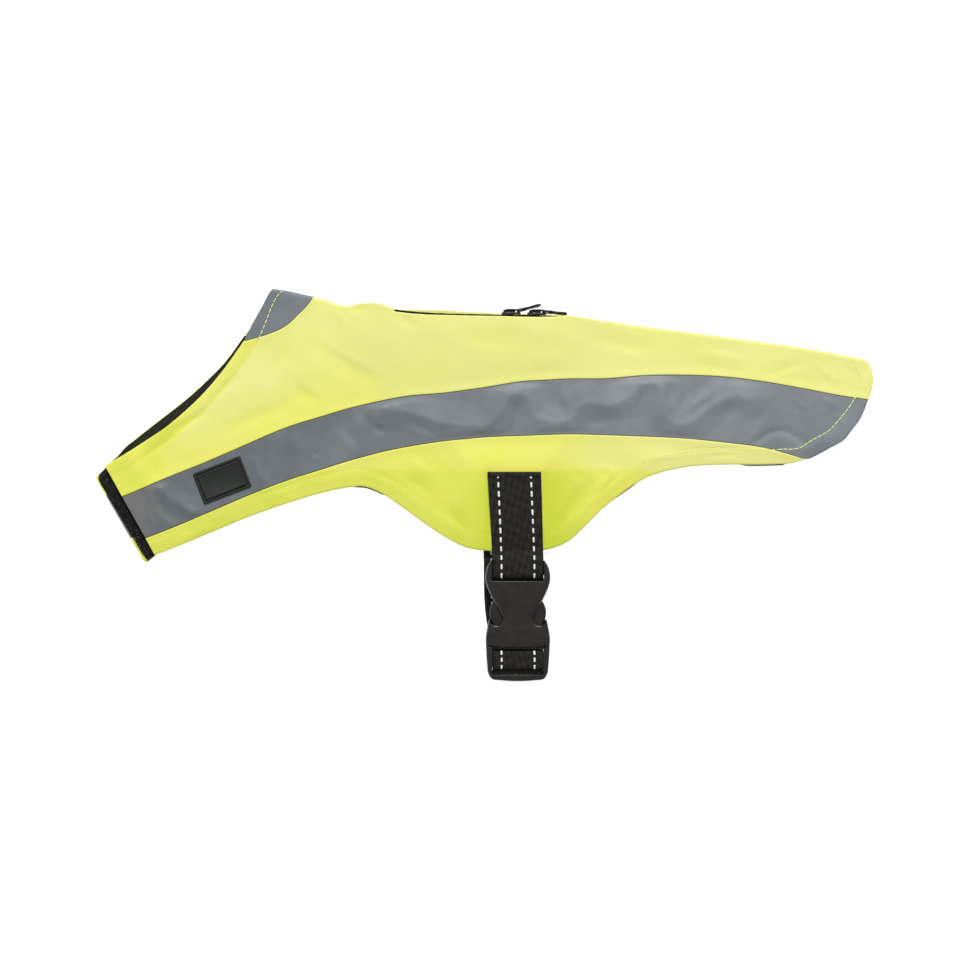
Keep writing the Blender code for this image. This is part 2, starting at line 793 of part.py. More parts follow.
def zip_block(x_ends, up_ends, out_ends, at, name="helper", paint=None):
    points = [
        zip_point(x, out, up, along_x=at)
        for out in out_ends
        for x, up in (
            (x_ends[0], up_ends[0]),
            (x_ends[1], up_ends[0]),
            (x_ends[1], up_ends[1]),
            (x_ends[0], up_ends[1]),
        )
    ]
    faces = [(3, 2, 1, 0), (4, 5, 6, 7)]
    faces += [(c, (c + 1) % 4, 4 + (c + 1) % 4, 4 + c) for c in range(4)]
    return solid(name, points, faces, paint)


def combine(body, others, operation="UNION"):
    for k, other in enumerate(others):
        step = body.modifiers.new(f"{operation.lower()}_{k}", "BOOLEAN")
        step.object = other
        step.operation = operation


def make_slider(which, paint):
    rear = SLIDER_REARS[which]
    front = rear - SLIDER_LENGTH
    middle = (front + rear) / 2
    wide, low, high = SLIDER_HALF_WIDTH, PLATE[0], PLATE[1]
    body = zip_block(
        (front, rear), (-wide, wide), (low, high), middle, f"slider_{which}", paint
    )
    pin = rear - PIN_INSET
    arch = (-ARCH_HALF_WIDTH, ARCH_HALF_WIDTH)
    posts = (high - 0.2, ARCH[0] + 0.2)
    wedge = (front + WEDGE[0], front + WEDGE[1])
    combine(body, [
        zip_block((front, rear), (-wide, wide), (-high, -low), middle),
        zip_block(wedge, (-0.9, 0.9), (-low - 0.2, low + 0.2), middle),
        zip_block((front + 1.2, pin + 1.35), arch, ARCH, middle),
        zip_block((front + 1.2, front + 2.2), arch, posts, middle),
        zip_block((pin + 0.7, pin + 1.35), arch, posts, middle),
    ])
    return pin, middle


def make_pull(which, pin, at, paint):
    """A flat tab that turns on a pin under the slider's arch, with its origin on that pin."""
    raised = PULL_RAISED[which]
    along = Vector((cos(raised), 0, 0)) + ZIP_OUT * sin(raised)
    away = ZIP_OUT * cos(raised) - Vector((sin(raised), 0, 0))
    hinge = zip_point(pin, PIN_HEIGHT, 0, along_x=at)

    def prism(outline, thickness, name="helper", colour=None):
        points = []
        for side in (-thickness / 2, thickness / 2):
            points += [hinge + along * u + ZIP_UP * v + away * side for u, v in outline]
        n = len(outline)
        faces = [tuple(range(n - 1, -1, -1)), tuple(range(n, 2 * n))]
        faces += [(k, (k + 1) % n, n + (k + 1) % n, n + k) for k in range(n)]
        return solid(name, points, faces, colour, hinge)

    wide, waist, bulb = PULL_HALF_WIDTH, 1.5, 2.2
    round_end = [
        (PULL_LENGTH - bulb + bulb * cos(a), bulb * sin(a))
        for a in [pi * (k / 8 - 0.5) for k in range(9)]
    ]
    outline = [(-PIN_RADIUS, -wide), (3.9, -wide), (5.2, -waist), (8.0, -waist), *round_end]
    outline += [(8.0, waist), (5.2, waist), (3.9, wide), (-PIN_RADIUS, wide)]
    tab = prism(outline, PULL_THICKNESS, f"pull_{which}", paint)
    window = [(PIN_RADIUS, -1.15), (3.05, -1.15), (3.05, 1.15), (PIN_RADIUS, 1.15)]
    eye = [
        (PULL_LENGTH - bulb + 0.9 * cos(a), 0.9 * sin(a))
        for a in [2 * pi * k / 12 for k in range(12)]
    ]
    combine(tab, [prism(window, 3), prism(eye, 3)], "DIFFERENCE")
    return tab


def make_zip():
    black = material("zip_tape", BLACK_CLOTH, 0.85)
    coil = material("zip_coil", (0.03, 0.03, 0.03), 0.5)
    metal = material("zip_slider", (0.05, 0.05, 0.052), 0.4, 0.5)
    x0, x1 = ZIP_ENDS
    wide, high = COIL
    for side, sign in (("left", 1), ("right", -1)):
        ends = sorted((sign * TAPE_INNER, sign * TAPE_OUTER))
        zip_bar(f"zip_tape_{side}", (x0, x1), ends, (-0.5, 0.5), black)
    wedge_gap = 0.3
    first = SLIDER_REARS["front"] - SLIDER_LENGTH + WEDGE[0] - wedge_gap
    last = SLIDER_REARS["rear"] - SLIDER_LENGTH + WEDGE[1] + wedge_gap
    zip_bar("zip_coil_front", (x0 + 1, first), (-wide, wide), (-high, high), coil)
    zip_bar("zip_coil_rear", (last, x1 - 1), (-wide, wide), (-high, high), coil)
    for which in SLIDER_REARS:
        pin, middle = make_slider(which, metal)
        make_pull(which, pin, middle, metal)


# ---- straps and buckle ----------------------------------------------------------------------


def strap(name, path, centre_rows, paint):
    """Webbing along a path of (y, z), with its middle line's x given by y."""
    centre = smooth_curve(sorted(centre_rows))
    grid = []
    for y, z in path:
        x = centre(y)
        grid.append([Vector((x + side * WEBBING_HALF_WIDTH, y, z)) for side in (-1, 0, 1)])
    return sheet(name, grid, WEBBING, paint)


def arc(middle, radius, start, end, parts=4):
    """Points (y, z) round a middle, by angles in degrees from +Y towards +Z."""
    y, z = middle
    angles = [radians(start + (end - start) * k / parts) for k in range(parts + 1)]
    return [(y + radius * cos(a), z + radius * sin(a)) for a in angles]


def make_straps():
    black = material("webbing", (0.025, 0.022, 0.02), 0.85)
    clear = GAP + WEBBING / 2
    x = LEFT_STRAP_X[0][1]
    path = [
        (y, left_z(x, y) + CLOTH / 2 + clear)
        for y in (STRAP_TOP_Y, 0, -8, -16, -24, -30, -33)
    ]
    low, high = BAR_LEFT_Z
    bend = 2.55
    turn = (BAR_LEFT_Y[0] + 0.9, (low + high) / 2)
    path += [(-36, 7.6), (BAR_LEFT_Y[1] - 0.6, turn[1] + bend)]
    path += arc(turn, bend, 90, 270, 8)
    path += [(BAR_LEFT_Y[1], turn[1] - bend), (-36.0, turn[1] - bend)]
    strap("strap_left", path, LEFT_STRAP_X, black)

    bend, return_bend, corner = 1.95, 1.3, 0.7
    high = BAR_RIGHT_Z[1] - corner
    outer = (BAR_RIGHT_Y[0] + corner, high)
    inner = (BAR_RIGHT_Y[1] - corner, high)
    on_top = WEBBING * 1.5 + GAP
    path = [(y, WEBBING / 2) for y in (STRAP_TOP_Y, -16, -33, -50, -66, -84)]
    path += arc((outer[0], WEBBING / 2 + bend), bend, 270, 180, 4)
    path += arc(outer, bend, 180, 90, 4)
    path += arc(inner, bend, 90, 0, 4)
    path += arc((inner[0] + bend + return_bend, on_top + return_bend), return_bend, 180, 270, 3)
    path += [(-72.0, on_top)]
    strap("strap_right", path, RIGHT_STRAP_X, black)


def box(x_ends, y_ends, z_ends):
    points = [(x, y, z) for z in z_ends for x, y in zip(
        (x_ends[0], x_ends[1], x_ends[1], x_ends[0]),
        (y_ends[0], y_ends[0], y_ends[1], y_ends[1]),
    )]
    faces = [(3, 2, 1, 0), (4, 5, 6, 7)]
    faces += [(c, (c + 1) % 4, 4 + (c + 1) % 4, 4 + c) for c in range(4)]
    return solid("helper", points, faces, None)


def moulding(name, outline, levels, paint):
    """An outline drawn up through levels of (inset, z), so that its edges are rounded."""
    n = len(outline)
    insets = []
    for k in range(n):
        before, at, after = (Vector(outline[(k + d) % n]) for d in (-1, 0, 1))
        a, b = (at - before).normalized(), (after - at).normalized()
        across = Vector((-a.y - b.y, a.x + b.x))
        insets.append(across.normalized() if across.length else Vector((0, 0)))
    points = []
    for inset, z in levels:
        points += [(*(Vector(p) + d * inset), z) for p, d in zip(outline, insets)]
    faces = [tuple(range(n - 1, -1, -1)), tuple(range((len(levels) - 1) * n, len(levels) * n))]
    for level in range(len(levels) - 1):
        for k in range(n):
            a, b = level * n + k, level * n + (k + 1) % n
            faces.append((a, b, b + n, a + n))
    return solid(name, points, faces, paint)


def both_sides(half):
    """A whole outline, turning left, from half of one that runs down its right side."""
    right = [(BUCKLE_X + w, y) for w, y in half]
    left = [(BUCKLE_X - w, y) for w, y in half]
    return left + right[::-1]


def make_female(paint):
    low, high = BUCKLE_Z
    levels = ((0.7, low), (0, low + 1.0), (0, high - 1.6), (0.5, high - 0.5), (1.4, high))
    body = moulding("buckle_female", both_sides(FEMALE), levels, paint)
    inside = 13.1
    x_ends = (BUCKLE_X - inside, BUCKLE_X + inside)
    y_ends = (SLOT_LEFT_END, BAR_LEFT_Y[1] + 2)
    pocket = (BUCKLE_X - 12.4, BUCKLE_X + 12.4)
    combine(body, [
        box(x_ends, y_ends, (BAR_LEFT_Z[1], high + 1)),
        box(x_ends, y_ends, (low - 1, BAR_LEFT_Z[0])),
        box(x_ends, (SLOT_LEFT_END, BAR_LEFT_Y[0]), (low - 1, high + 1)),
        box(pocket, (-84, -56.6), POCKET_Z),
    ], "DIFFERENCE")


def make_male(paint):
    low, high = FRAME_Z
    levels = ((0.6, low), (0, low + 0.9), (0, high - 0.9), (0.6, high))
    body = moulding("buckle_male", both_sides(FRAME), levels, paint)
    window = (BUCKLE_X - RAIL_INNER, BUCKLE_X + RAIL_INNER)
    combine(body, [box(window, (RAIL_TOP_Y, -80), (low - 1, high + 1))], "DIFFERENCE")
    wide = 12.1
    parts = [
        box((window[0] - 0.5, window[1] + 0.5), BAR_RIGHT_Y, BAR_RIGHT_Z),
        box((BUCKLE_X - wide, BUCKLE_X + wide), PLUG_Y, ARM_Z),
        box((BUCKLE_X - 1.6, BUCKLE_X + 1.6), (PLUG_Y[1] - 0.2, -63), ARM_Z),
        box((window[0] - 1, window[1] + 1), (PLUG_Y[0], PLUG_Y[0] + 0.9), ARM_Z),
    ]
    for sign in (-1, 1):
        outline = [(BUCKLE_X + sign * w, y) for w, y in LOBE]
        outline += [(BUCKLE_X + sign * w, y) for w, y in ((10.6, -78.3), (8.4, -78.3), (8.4, -60))]
        if sign > 0:
            outline.reverse()
        parts.append(moulding("helper", outline, ((0, ARM_Z[0]), (0, ARM_Z[1])), None))
    for k, part in enumerate(parts):
        step = body.modifiers.new(f"join_{k}", "BOOLEAN")
        step.object = part
        step.operation = "UNION"


# ---- patch ----------------------------------------------------------------------------------


def make_patch():
    x, y = PATCH_MIDDLE
    base = left_z(x, y) + CLOTH / 2 + GAP
    half_x, half_y = PATCH_SIZE[0] / 2, PATCH_SIZE[1] / 2
    outline = []
    for sx, sy, first in ((1, 1, 0), (-1, 1, 90), (-1, -1, 180), (1, -1, 270)):
        for k in range(4):
            a = radians(first + 30 * k)
            px = sx * (half_x - PATCH_CORNER) + PATCH_CORNER * cos(a)
            py = sy * (half_y - PATCH_CORNER) + PATCH_CORNER * sin(a)
            outline.append((
                x + px * cos(PATCH_TURN) - py * sin(PATCH_TURN),
                y + px * sin(PATCH_TURN) + py * cos(PATCH_TURN),
            ))
    levels = (
        (0, base),
        (0, base + PATCH_FLANGE),
        (PATCH_RIM_INSET, base + PATCH_RIM),
    )
    moulding("patch", outline, levels, material("rubber_patch", (0.03, 0.03, 0.03), 0.6))


def main():
    for obj in list(bpy.data.objects):
        bpy.data.objects.remove(obj, do_unlink=True)
    make_left_cloth()
    make_right_cloth()
    make_lining()
    make_hook_tape()
    make_zip()
    make_straps()
    plastic = material("buckle_plastic", BLACK_PLASTIC, 0.4)
    make_female(plastic)
    make_male(plastic)
    make_patch()


main()
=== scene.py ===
from math import cos, pi, radians, sin, sqrt

import bmesh
import bpy
import numpy as np
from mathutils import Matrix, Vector


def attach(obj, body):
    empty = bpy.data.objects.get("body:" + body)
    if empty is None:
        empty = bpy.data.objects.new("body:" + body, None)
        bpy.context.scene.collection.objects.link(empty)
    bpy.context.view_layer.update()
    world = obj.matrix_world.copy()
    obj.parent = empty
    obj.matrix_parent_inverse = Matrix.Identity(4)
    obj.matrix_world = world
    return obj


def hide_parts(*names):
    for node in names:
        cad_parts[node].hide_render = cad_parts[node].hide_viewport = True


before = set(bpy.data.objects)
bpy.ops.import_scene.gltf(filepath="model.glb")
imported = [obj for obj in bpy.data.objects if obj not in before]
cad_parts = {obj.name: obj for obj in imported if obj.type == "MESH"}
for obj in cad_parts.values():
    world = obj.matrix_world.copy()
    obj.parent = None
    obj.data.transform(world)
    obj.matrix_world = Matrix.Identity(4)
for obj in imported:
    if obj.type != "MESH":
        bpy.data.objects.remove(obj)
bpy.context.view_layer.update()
scene = bpy.context.scene
mm = 0.001

# The vest lies on its right side: neck to -X, tail to +X, spine to +Y, left side up.
# Lengths are in millimetres until a mesh is made.
# x, top of the strip, bottom of the strip, hem
sections = (
    (-190, -8.5, -34.0, -43.5), (-180, -5.2, -30.5, -40.0), (-160, 3.3, -23.0, -33.0),
    (-140, 11.3, -14.6, -24.8), (-120, 20.0, -6.0, -16.5), (-100, 28.5, 1.8, -9.3),
    (-80, 34.8, 8.2, -3.4), (-70, 37.8, 11.4, -1.3), (-60, 40.3, 14.2, -0.8),
    (-50, 42.5, 16.8, -5.0), (-40, 44.3, 18.8, -12.0), (-20, 46.1, 21.9, -25.8),
    (-10, 47.4, 22.9, -31.0), (0, 48.8, 23.8, -32.7), (20, 51.9, 24.6, -32.9),
    (30, 52.4, 25.0, -32.4), (40, 53.0, 25.3, -29.0), (60, 53.2, 24.9, -10.6),
    (80, 54.8, 24.2, 3.4), (100, 55.0, 23.2, 9.0), (120, 54.1, 21.2, 10.3),
    (140, 51.6, 18.5, 10.3), (160, 48.1, 12.7, 11.2), (180, 44.3, 5.0, 12.5), (192, 42.6, 1.0, 13.0),
)
spineLine = (
    (-106.5, 98.4), (-100, 97.6), (-90, 95.4), (-80, 93.0), (-70, 89.9), (-61, 91.3), (-52.5, 91.0),
    (-50, 90.0), (-47.7, 88.6), (-45.6, 86.9), (-42, 86.2), (-30.5, 85.1), (-15.8, 84.7), (8.3, 84.2),
    (30, 83.9), (37, 84.2), (42, 84.9), (50, 83.9), (60, 82.4), (80, 79.5), (120, 74.3), (160, 68.6),
    (190, 63.2),
)
# x, how far the right side's edge stands out beyond the zip
flapLine = ((-45.6, 1.5), (-42, 1.9), (-27, 3.0), (-10, 2.5), (8, 2.0), (38, 1.4))
# x, how far the zip's tapes stand out
tapeLine = ((-45.6, 1.5), (-38, 1.15), (-30, 0.95), (-15.8, 0.55), (8, 0.15), (38, 0.1))
zipLine = ((-46, 86.4), (-30, 85.4), (0, 85.1), (40, 84.4))
# x, left neck edge, how far the right one stands out beyond it
neckLine = (
    (-190, 9.4, -0.8), (-188, 10.6, 0.6), (-184, 12.9, 1.9), (-182.3, 13.9, 3.0), (-180, 15.3, 4.2),
    (-177, 17.2, 4.6), (-170, 21.8, 5.6), (-160, 28.5, 6.6), (-150, 36.8, 6.2), (-140, 46.5, 5.5),
    (-130, 58.5, 3.8), (-120.5, 71.9, 3.4),
)
napeEdge = (
    (-120.5, 71.9), (-117.9, 77.3), (-115.8, 81.5), (-111.6, 88.8), (-107.4, 96.6), (-106.3, 97.9),
)
napeSeamLine = (
    (-120.5, 71.9), (-113.2, 73.8), (-106.9, 75.9), (-100.6, 78.8), (-96.9, 81.5), (-93.2, 85.2),
    (-89, 89.4), (-86.9, 92.0), (-85.9, 93.7),
)
tailEdge = ((186.5, 63.7), (191.2, 61.6), (193.4, 57.5), (194.0, 51.0), (191.6, 42.8))
tailCorner = (
    (191.6, 42.8), (190.5, 40.0), (188.5, 34.9), (187.0, 32.4), (183.2, 27.4), (180.1, 23.3),
    (178.2, 21.7), (172.8, 18.8), (167.4, 15.8), (162.3, 13.3), (159.2, 12.2),
)
chestEndLeft = ((-189.9, 9.2), (-165.3, -34.3))
chestEndRight = ((-195.1, 3.9), (-171.2, -37.5))
rightNeckStart, rightHemStart, hemRear = (-190.8, 8.9), (-169.3, -38.7), -163.0
neckEndX, napeEndX, sideTipX = -120.5, -85.9, 159.0
tailTurn = {"start": 151.5, "length": 8.5, "rise": 1.3}  # how the hem turns up into the tail's corner
underStrap = {"x": (-5.0, 27.0), "y": (-42.0, 9.0), "fade": 15.0}  # where the layers lie smooth

vest = {
    "cloth": 0.9,  # thickness of a cloth
    "halfGap": 0.05,  # half the gap along a seam
    "rightInset": 0.6,
    "rightZ": 0.5,
    "rightRise": 2.1,  # how far the right side climbs towards the fold
    "rightRound": 1.6,
    "chestBound": 2.2,  # how far the chest end wraps the tape's edge
    "liningZ": 2.0,
    "seamLead": 3.5,  # how much higher the right side's seams end at the chest
    "leftHemZ": 3.3,
    "leftFill": 1.0,
    "hemReach": 12.0,
    "chestLift": 1.3,
    "strapLift": 1.6,
    "edgeZ": 3.9,  # the left side's edge along the spine
    "foldZ": 4.6,  # crest of the fold beside it
    "zipFoldZ": 8.3,
    "foldRadius": 1.5,
    "foldReach": 60.0,
    "hookWidth": 18.0,
    "edgeDrop": 0.45,  # how far a free edge rolls down
    "edgeRound": 1.1,
    "upperSeam": 0.34,  # how far a seam's upper cloth stands over the lower one
    "lowerSeam": 0.3,
    "seamSpread": 2.6,
}
zipEnds = (-45.6, 38.0)
hemBand = {"width": 7.8, "rise": 0.24, "groove": 0.25, "spread": 1.2}
neckBand = {"width": 5.6, "rise": 0.24, "groove": 0.3, "spread": 1.4}

# x, y, heading, half length, half width, height, lean to one side, crispness
creases = (
    (-31.2, 28.5, -25, 12, 5.0, -0.9, 0.3, 0.3), (16.5, 36, 84, 9, 5.0, -0.5, 0.0, 0.2),
    (39.8, 44, -83, 8, 3.2, 0.6, 0.0, 0.5), (60, 32.5, 8, 17, 5.0, -0.6, 0.3, 0.2),
    (92.8, 46.5, 90, 8, 4.0, -0.6, 0.0, 0.3), (106, 41, 35, 16, 4.5, 0.6, 0.3, 0.5),
    (122.5, 37, 20, 8, 5.0, -0.6, 0.0, 0.2), (158, 40, -29, 6, 1.7, 0.45, 0.0, 0.8),
    (172.5, 41, -30, 9, 1.8, 0.5, 0.0, 0.8), (178, 32, -38, 6, 1.8, 0.4, 0.0, 0.6),
    (78, 43, 70, 8, 3.0, -0.5, 0.0, 0.3), (136, 33, 60, 9, 5.0, -0.4, 0.2, 0.2),
    (-167.5, -4.5, -60, 6, 3.0, 0.45, 0.0, 0.6), (-166.8, -18, -69, 6, 1.6, 0.45, 0.0, 0.8),
    (-160, -13, -50, 9, 4.0, -0.6, 0.0, 0.3), (-116.8, 15.2, 0, 4, 1.4, -0.4, 0.0, 0.6),
    (-84.3, 15.5, 0, 2.6, 1.8, -0.4, 0.0, 0.4), (-67.5, 25, -56, 10, 4.2, -0.6, 0.0, 0.2),
    (-63, 31.5, -59, 8, 4.0, 0.4, 0.0, 0.3), (-55, 33.8, -51, 9, 4.0, 0.45, 0.0, 0.3),
    (-52.5, 27.5, -30, 5, 3.2, -0.5, 0.0, 0.3), (-95, 21, -60, 10, 5.0, 0.3, 0.2, 0.1),
    (-70, 61, -30, 26, 6.5, -0.6, -0.35, 0.1), (-89.5, 45.5, -35, 10, 5.5, -0.7, -0.4, 0.2),
    (-115, 33.5, 22, 28, 6.5, -0.6, 0.0, 0.1), (-104, 62, 60, 14, 5.0, -0.3, -0.2, 0.2),
    (-149.5, 31.0, 28, 17, 3.2, -0.5, 0.0, 0.2), (-129.7, 49.6, 44, 9, 3.0, -0.4, 0.0, 0.2),
    (-64, 88.2, 0, 8, 3.2, -0.4, 0.0, 0.1), (-38.8, 81.7, -28, 9, 4.0, -0.4, 0.0, 0.1),
    (-72, 83, -48, 8, 2.2, 0.3, 0.0, 0.4), (8, 72, -4, 26, 7.0, -0.35, 0.1, 0.1),
    (70, 70, -12, 22, 6.0, -0.45, 0.2, 0.2), (118, 64, -9, 20, 5.0, 0.35, -0.2, 0.2),
    (150, 58, 20, 14, 4.0, -0.35, 0.3, 0.3), (172, 55, -38, 9, 3.0, 0.35, 0.0, 0.4),
    (30, 62, 15, 18, 6.0, 0.3, 0.0, 0.1), (-13.5, -17.5, -40, 13, 5.0, -0.7, 0.3, 0.3),
    (-32.5, 9, -32, 13, 4.2, 0.45, 0.0, 0.3), (-33.5, 0, -35, 9, 4.2, -0.5, 0.2, 0.2),
    (43.5, -9, 60, 17, 6.0, -0.62, -0.3, 0.3), (52.5, -2.5, 60, 7, 5.0, -0.4, 0.0, 0.2),
    (60, 1, 45, 11, 3.0, 0.55, 0.3, 0.7), (61.5, 8, -35, 6, 2.6, 0.4, 0.0, 0.6),
    (34, 8.2, 30, 6, 2.2, -0.35, 0.0, 0.4), (46, 6, -32, 9, 2.2, -0.35, 0.0, 0.4),
    (88, 14, 8, 16, 3.0, 0.3, 0.2, 0.3), (-145, -24, 24, 14, 2.6, 0.3, 0.0, 0.4),
    (118, 15, 3, 12, 2.4, -0.3, 0.0, 0.3),
)
# height, reach above and below, points along the crest or the floor of each longer fold
folds = (
    (1.95, 13.0, 10.5, (
        (-52, 37.6), (-45, 37.5), (-37, 36), (-25, 31.5), (-12.5, 29.5), (-2.5, 28.8), (2.5, 30), (6, 34),
        (9, 39), (11.5, 44.5), (16.5, 45.5), (21.3, 43.8), (23, 38.5), (25, 33.8), (33.5, 30.7),
        (41.5, 31.7), (44, 34.2), (46.5, 38.5), (51, 41), (56, 40.5), (61.5, 39.6), (66.5, 40.7),
        (71, 43), (74, 46), (77.5, 50), (82.5, 51.3), (86, 50), (88, 47.8), (88.8, 41), (90, 35),
        (93, 31.2), (98, 29.8), (104, 31.5), (108.5, 35.7), (113, 38.7), (118, 42.2), (125, 44.5),
        (132.5, 42.5))),
    (1.2, 7.0, 5.5, ((-165, 1), (-161, -3.5), (-156.5, -7.5), (-150, -11.5), (-143.5, -15.5))),
    (0.7, 4.5, 3.0, ((-121, 14), (-115, 9), (-110.5, 1.5))),
    (-0.7, 3.4, 3.4, ((136, 21), (140, 25), (145, 27), (150, 27), (156, 24), (160, 21))),
)
# the same for the hidden side; only ridges, because its underside lies on the floor
rightCreases = (
    (-60, 26, -24, 17, 6.0, 0.35, 0.2, 0.3), (28, 38, 70, 12, 5.0, 0.32, 0.0, 0.4),
    (66, 36, 16, 18, 5.0, 0.36, 0.3, 0.4), (110, 38, 40, 14, 5.0, 0.3, 0.0, 0.3),
    (-96, 52, 30, 15, 6.0, 0.3, 0.0, 0.2), (-20, 66, -8, 24, 6.0, 0.34, 0.2, 0.2),
    (84, 68, -10, 20, 5.0, 0.3, 0.0, 0.3), (150, 44, -20, 12, 4.0, 0.3, 0.2, 0.4),
    (-148, 2, 30, 12, 4.0, 0.3, 0.0, 0.3), (52, 0, 60, 12, 4.0, 0.3, 0.0, 0.4),
)


def curveOf(rows, column=1):
    xs = np.array([row[0] for row in rows], float)
    ys = np.array([row[column] for row in rows], float)
    gaps = np.diff(xs)
    slopes = np.diff(ys) / gaps
    tangents = np.concatenate([slopes[:1], slopes, slopes[-1:]])[:len(xs)]
    tangents[1:-1] = (slopes[:-1] * gaps[1:] + slopes[1:] * gaps[:-1]) / (gaps[:-1] + gaps[1:])
    tangents[-1] = slopes[-1]

    def value(x):
        x = np.asarray(x, float)
        i = np.clip(np.searchsorted(xs, x, side="right") - 1, 0, len(xs) - 2)
        span = gaps[i]
        t = np.clip((x - xs[i]) / span, 0, 1)
        inside = (
            ys[i] * (1 + 2 * t) * (1 - t) ** 2
            + tangents[i] * span * t * (1 - t) ** 2
            + ys[i + 1] * t * t * (3 - 2 * t)
            + tangents[i + 1] * span * t * t * (t - 1)
        )
        before = np.minimum(x - xs[0], 0) * tangents[0]  # straight on beyond the ends
        after = np.maximum(x - xs[-1], 0) * tangents[-1]
        return inside + before + after

    return value


def through(points):
    pts = np.array([tuple(p)[:2] for p in points], float)
    at = np.concatenate([[0.0], np.cumsum(np.hypot(*np.diff(pts, axis=0).T))])
    xOf = curveOf(np.column_stack([at, pts[:, 0]]))
    yOf = curveOf(np.column_stack([at, pts[:, 1]]))
    return lambda s: np.stack([xOf(np.asarray(s) * at[-1]), yOf(np.asarray(s) * at[-1])], -1)


def straight(a, b):
    a, b = np.array(a, float), np.array(b, float)
    return lambda s: a + (b - a) * np.asarray(s, float)[..., None]


def bent(points, marks):
    pts = np.array([tuple(p) for p in points], float)
    return lambda s: np.stack([np.interp(s, marks, pts[:, k]) for k in (0, 1)], -1)


def graph(yOf, x0, x1):
    def at(s):
        x = x0 + (x1 - x0) * np.asarray(s, float)
        return np.stack([x, yOf(x)], -1)
    return at


def meets(yOf, end):
    (ax, ay), (bx, by) = end
    x = ax
    for _ in range(20):
        x = ax + (bx - ax) * (ay - float(yOf(x))) / (ay - by)
    return x


def ease(t):
    t = np.clip(t, 0.0, 1.0)
    return t * t * (3 - 2 * t)


def curl(inward, radius):
    return np.sqrt(1 - (1 - np.clip(inward / radius, 0, 1)) ** 2)


def distanceTo(line, x, y):
    pts = np.asarray(line, float)
    best = np.full(np.shape(x), 1e9)
    for (ax, ay), (bx, by) in zip(pts[:-1], pts[1:]):
        dx, dy = bx - ax, by - ay
        t = np.clip(((x - ax) * dx + (y - ay) * dy) / max(dx * dx + dy * dy, 1e-9), 0, 1)
        best = np.minimum(best, np.hypot(x - ax - t * dx, y - ay - t * dy))
    return best


stripTop, stripBottom, hemCurve = (curveOf(sections, column) for column in (1, 2, 3))
spine, flap, zipMiddle, tapeOut = (curveOf(rows) for rows in (spineLine, flapLine, zipLine, tapeLine))
neck, gape = curveOf(neckLine), curveOf(neckLine, 2)
napeSeam = curveOf(napeSeamLine)


def hem(x):
    along = (np.asarray(x, float) - tailTurn["start"]) / tailTurn["length"]
    return hemCurve(x) + tailTurn["rise"] * ease(along)


def seamLead(x):
    return vest["seamLead"] * np.clip((-120.0 - x) / 70.0, 0, 1)


def rightNapeSeam(x):
    return napeSeam(x) + neckLine[-1][2] * (napeEndX - x) / (napeEndX - neckEndX)


def zipOpen(x, ramp=7.0):
    front, rear = zipEnds
    return np.minimum(ease((x - front) / ramp + 1), ease((rear - x) / ramp + 1))


def strapZone(x, y):
    (left, right), (low, high) = underStrap["x"], underStrap["y"]
    away = np.maximum.reduce([left - x, x - right, low - y, y - high, np.zeros(np.shape(x))])
    return 1 - ease(away / underStrap["fade"])


def chestInward(x, y):
    (ax, ay), (bx, by) = chestEndRight
    length = sqrt((bx - ax) ** 2 + (by - ay) ** 2)
    return (-(x - ax) * (by - ay) + (y - ay) * (bx - ax)) / length


def patchZone(x, y):
    away = np.hypot(x - rubberPatch["x"], y - rubberPatch["y"]) - rubberPatch["reach"]
    return 1 - ease(away / rubberPatch["fade"])


def creaseHeight(x, y, table):
    total = np.zeros(np.shape(x))
    for cx, cy, heading, length, width, height, lean, crisp in table:
        turn = radians(heading)
        u = ((x - cx) * cos(turn) + (y - cy) * sin(turn)) / length
        v = ((y - cy) * cos(turn) - (x - cx) * sin(turn)) / width
        v = v / (1 + lean * np.sign(v))
        inside = (np.abs(u) < 1) & (np.abs(v) < 1)
        u, v = np.clip(u, -1, 1), np.clip(np.abs(v), 0, 1)
        across = (1 - v * v) ** 2 * (1 - crisp) + (1 - v) ** 1.5 * crisp
        total += np.where(inside, height * (1 - u * u) ** 2 * across, 0)
    return total


def foldHeight(x, y):
    total = np.zeros(np.shape(x))
    fade = ease((stripTop(x) - y) / 4.0) * ease((y - stripBottom(x)) / 4.0)
    for height, above, below, line in folds:
        xs, ys = zip(*line)
        reach = np.where(y > np.interp(x, xs, ys), above, below)
        near = np.clip(1 - distanceTo(line, x, y) / reach, 0, 1)
        total += height * near ** 1.3
    return total * fade


def ripple(x, y):
    slow = np.sin(x * 0.113 + np.sin(y * 0.07) * 1.7) * np.sin(y * 0.161 + x * 0.031 + 0.8)
    quick = np.sin(x * 0.29 + y * 0.17 + np.sin(x * 0.05) * 2) * np.sin(y * 0.33 - x * 0.12 + 2)
    return 0.16 * slow + 0.045 * quick


def leftEdgeY(x):
    return spine(x) - 0.5 * (1 - zipOpen(x))


def rightEdgeY(x):
    return leftEdgeY(x) + flap(np.clip(x, -45.6, 38)) * zipOpen(x, 4.0)


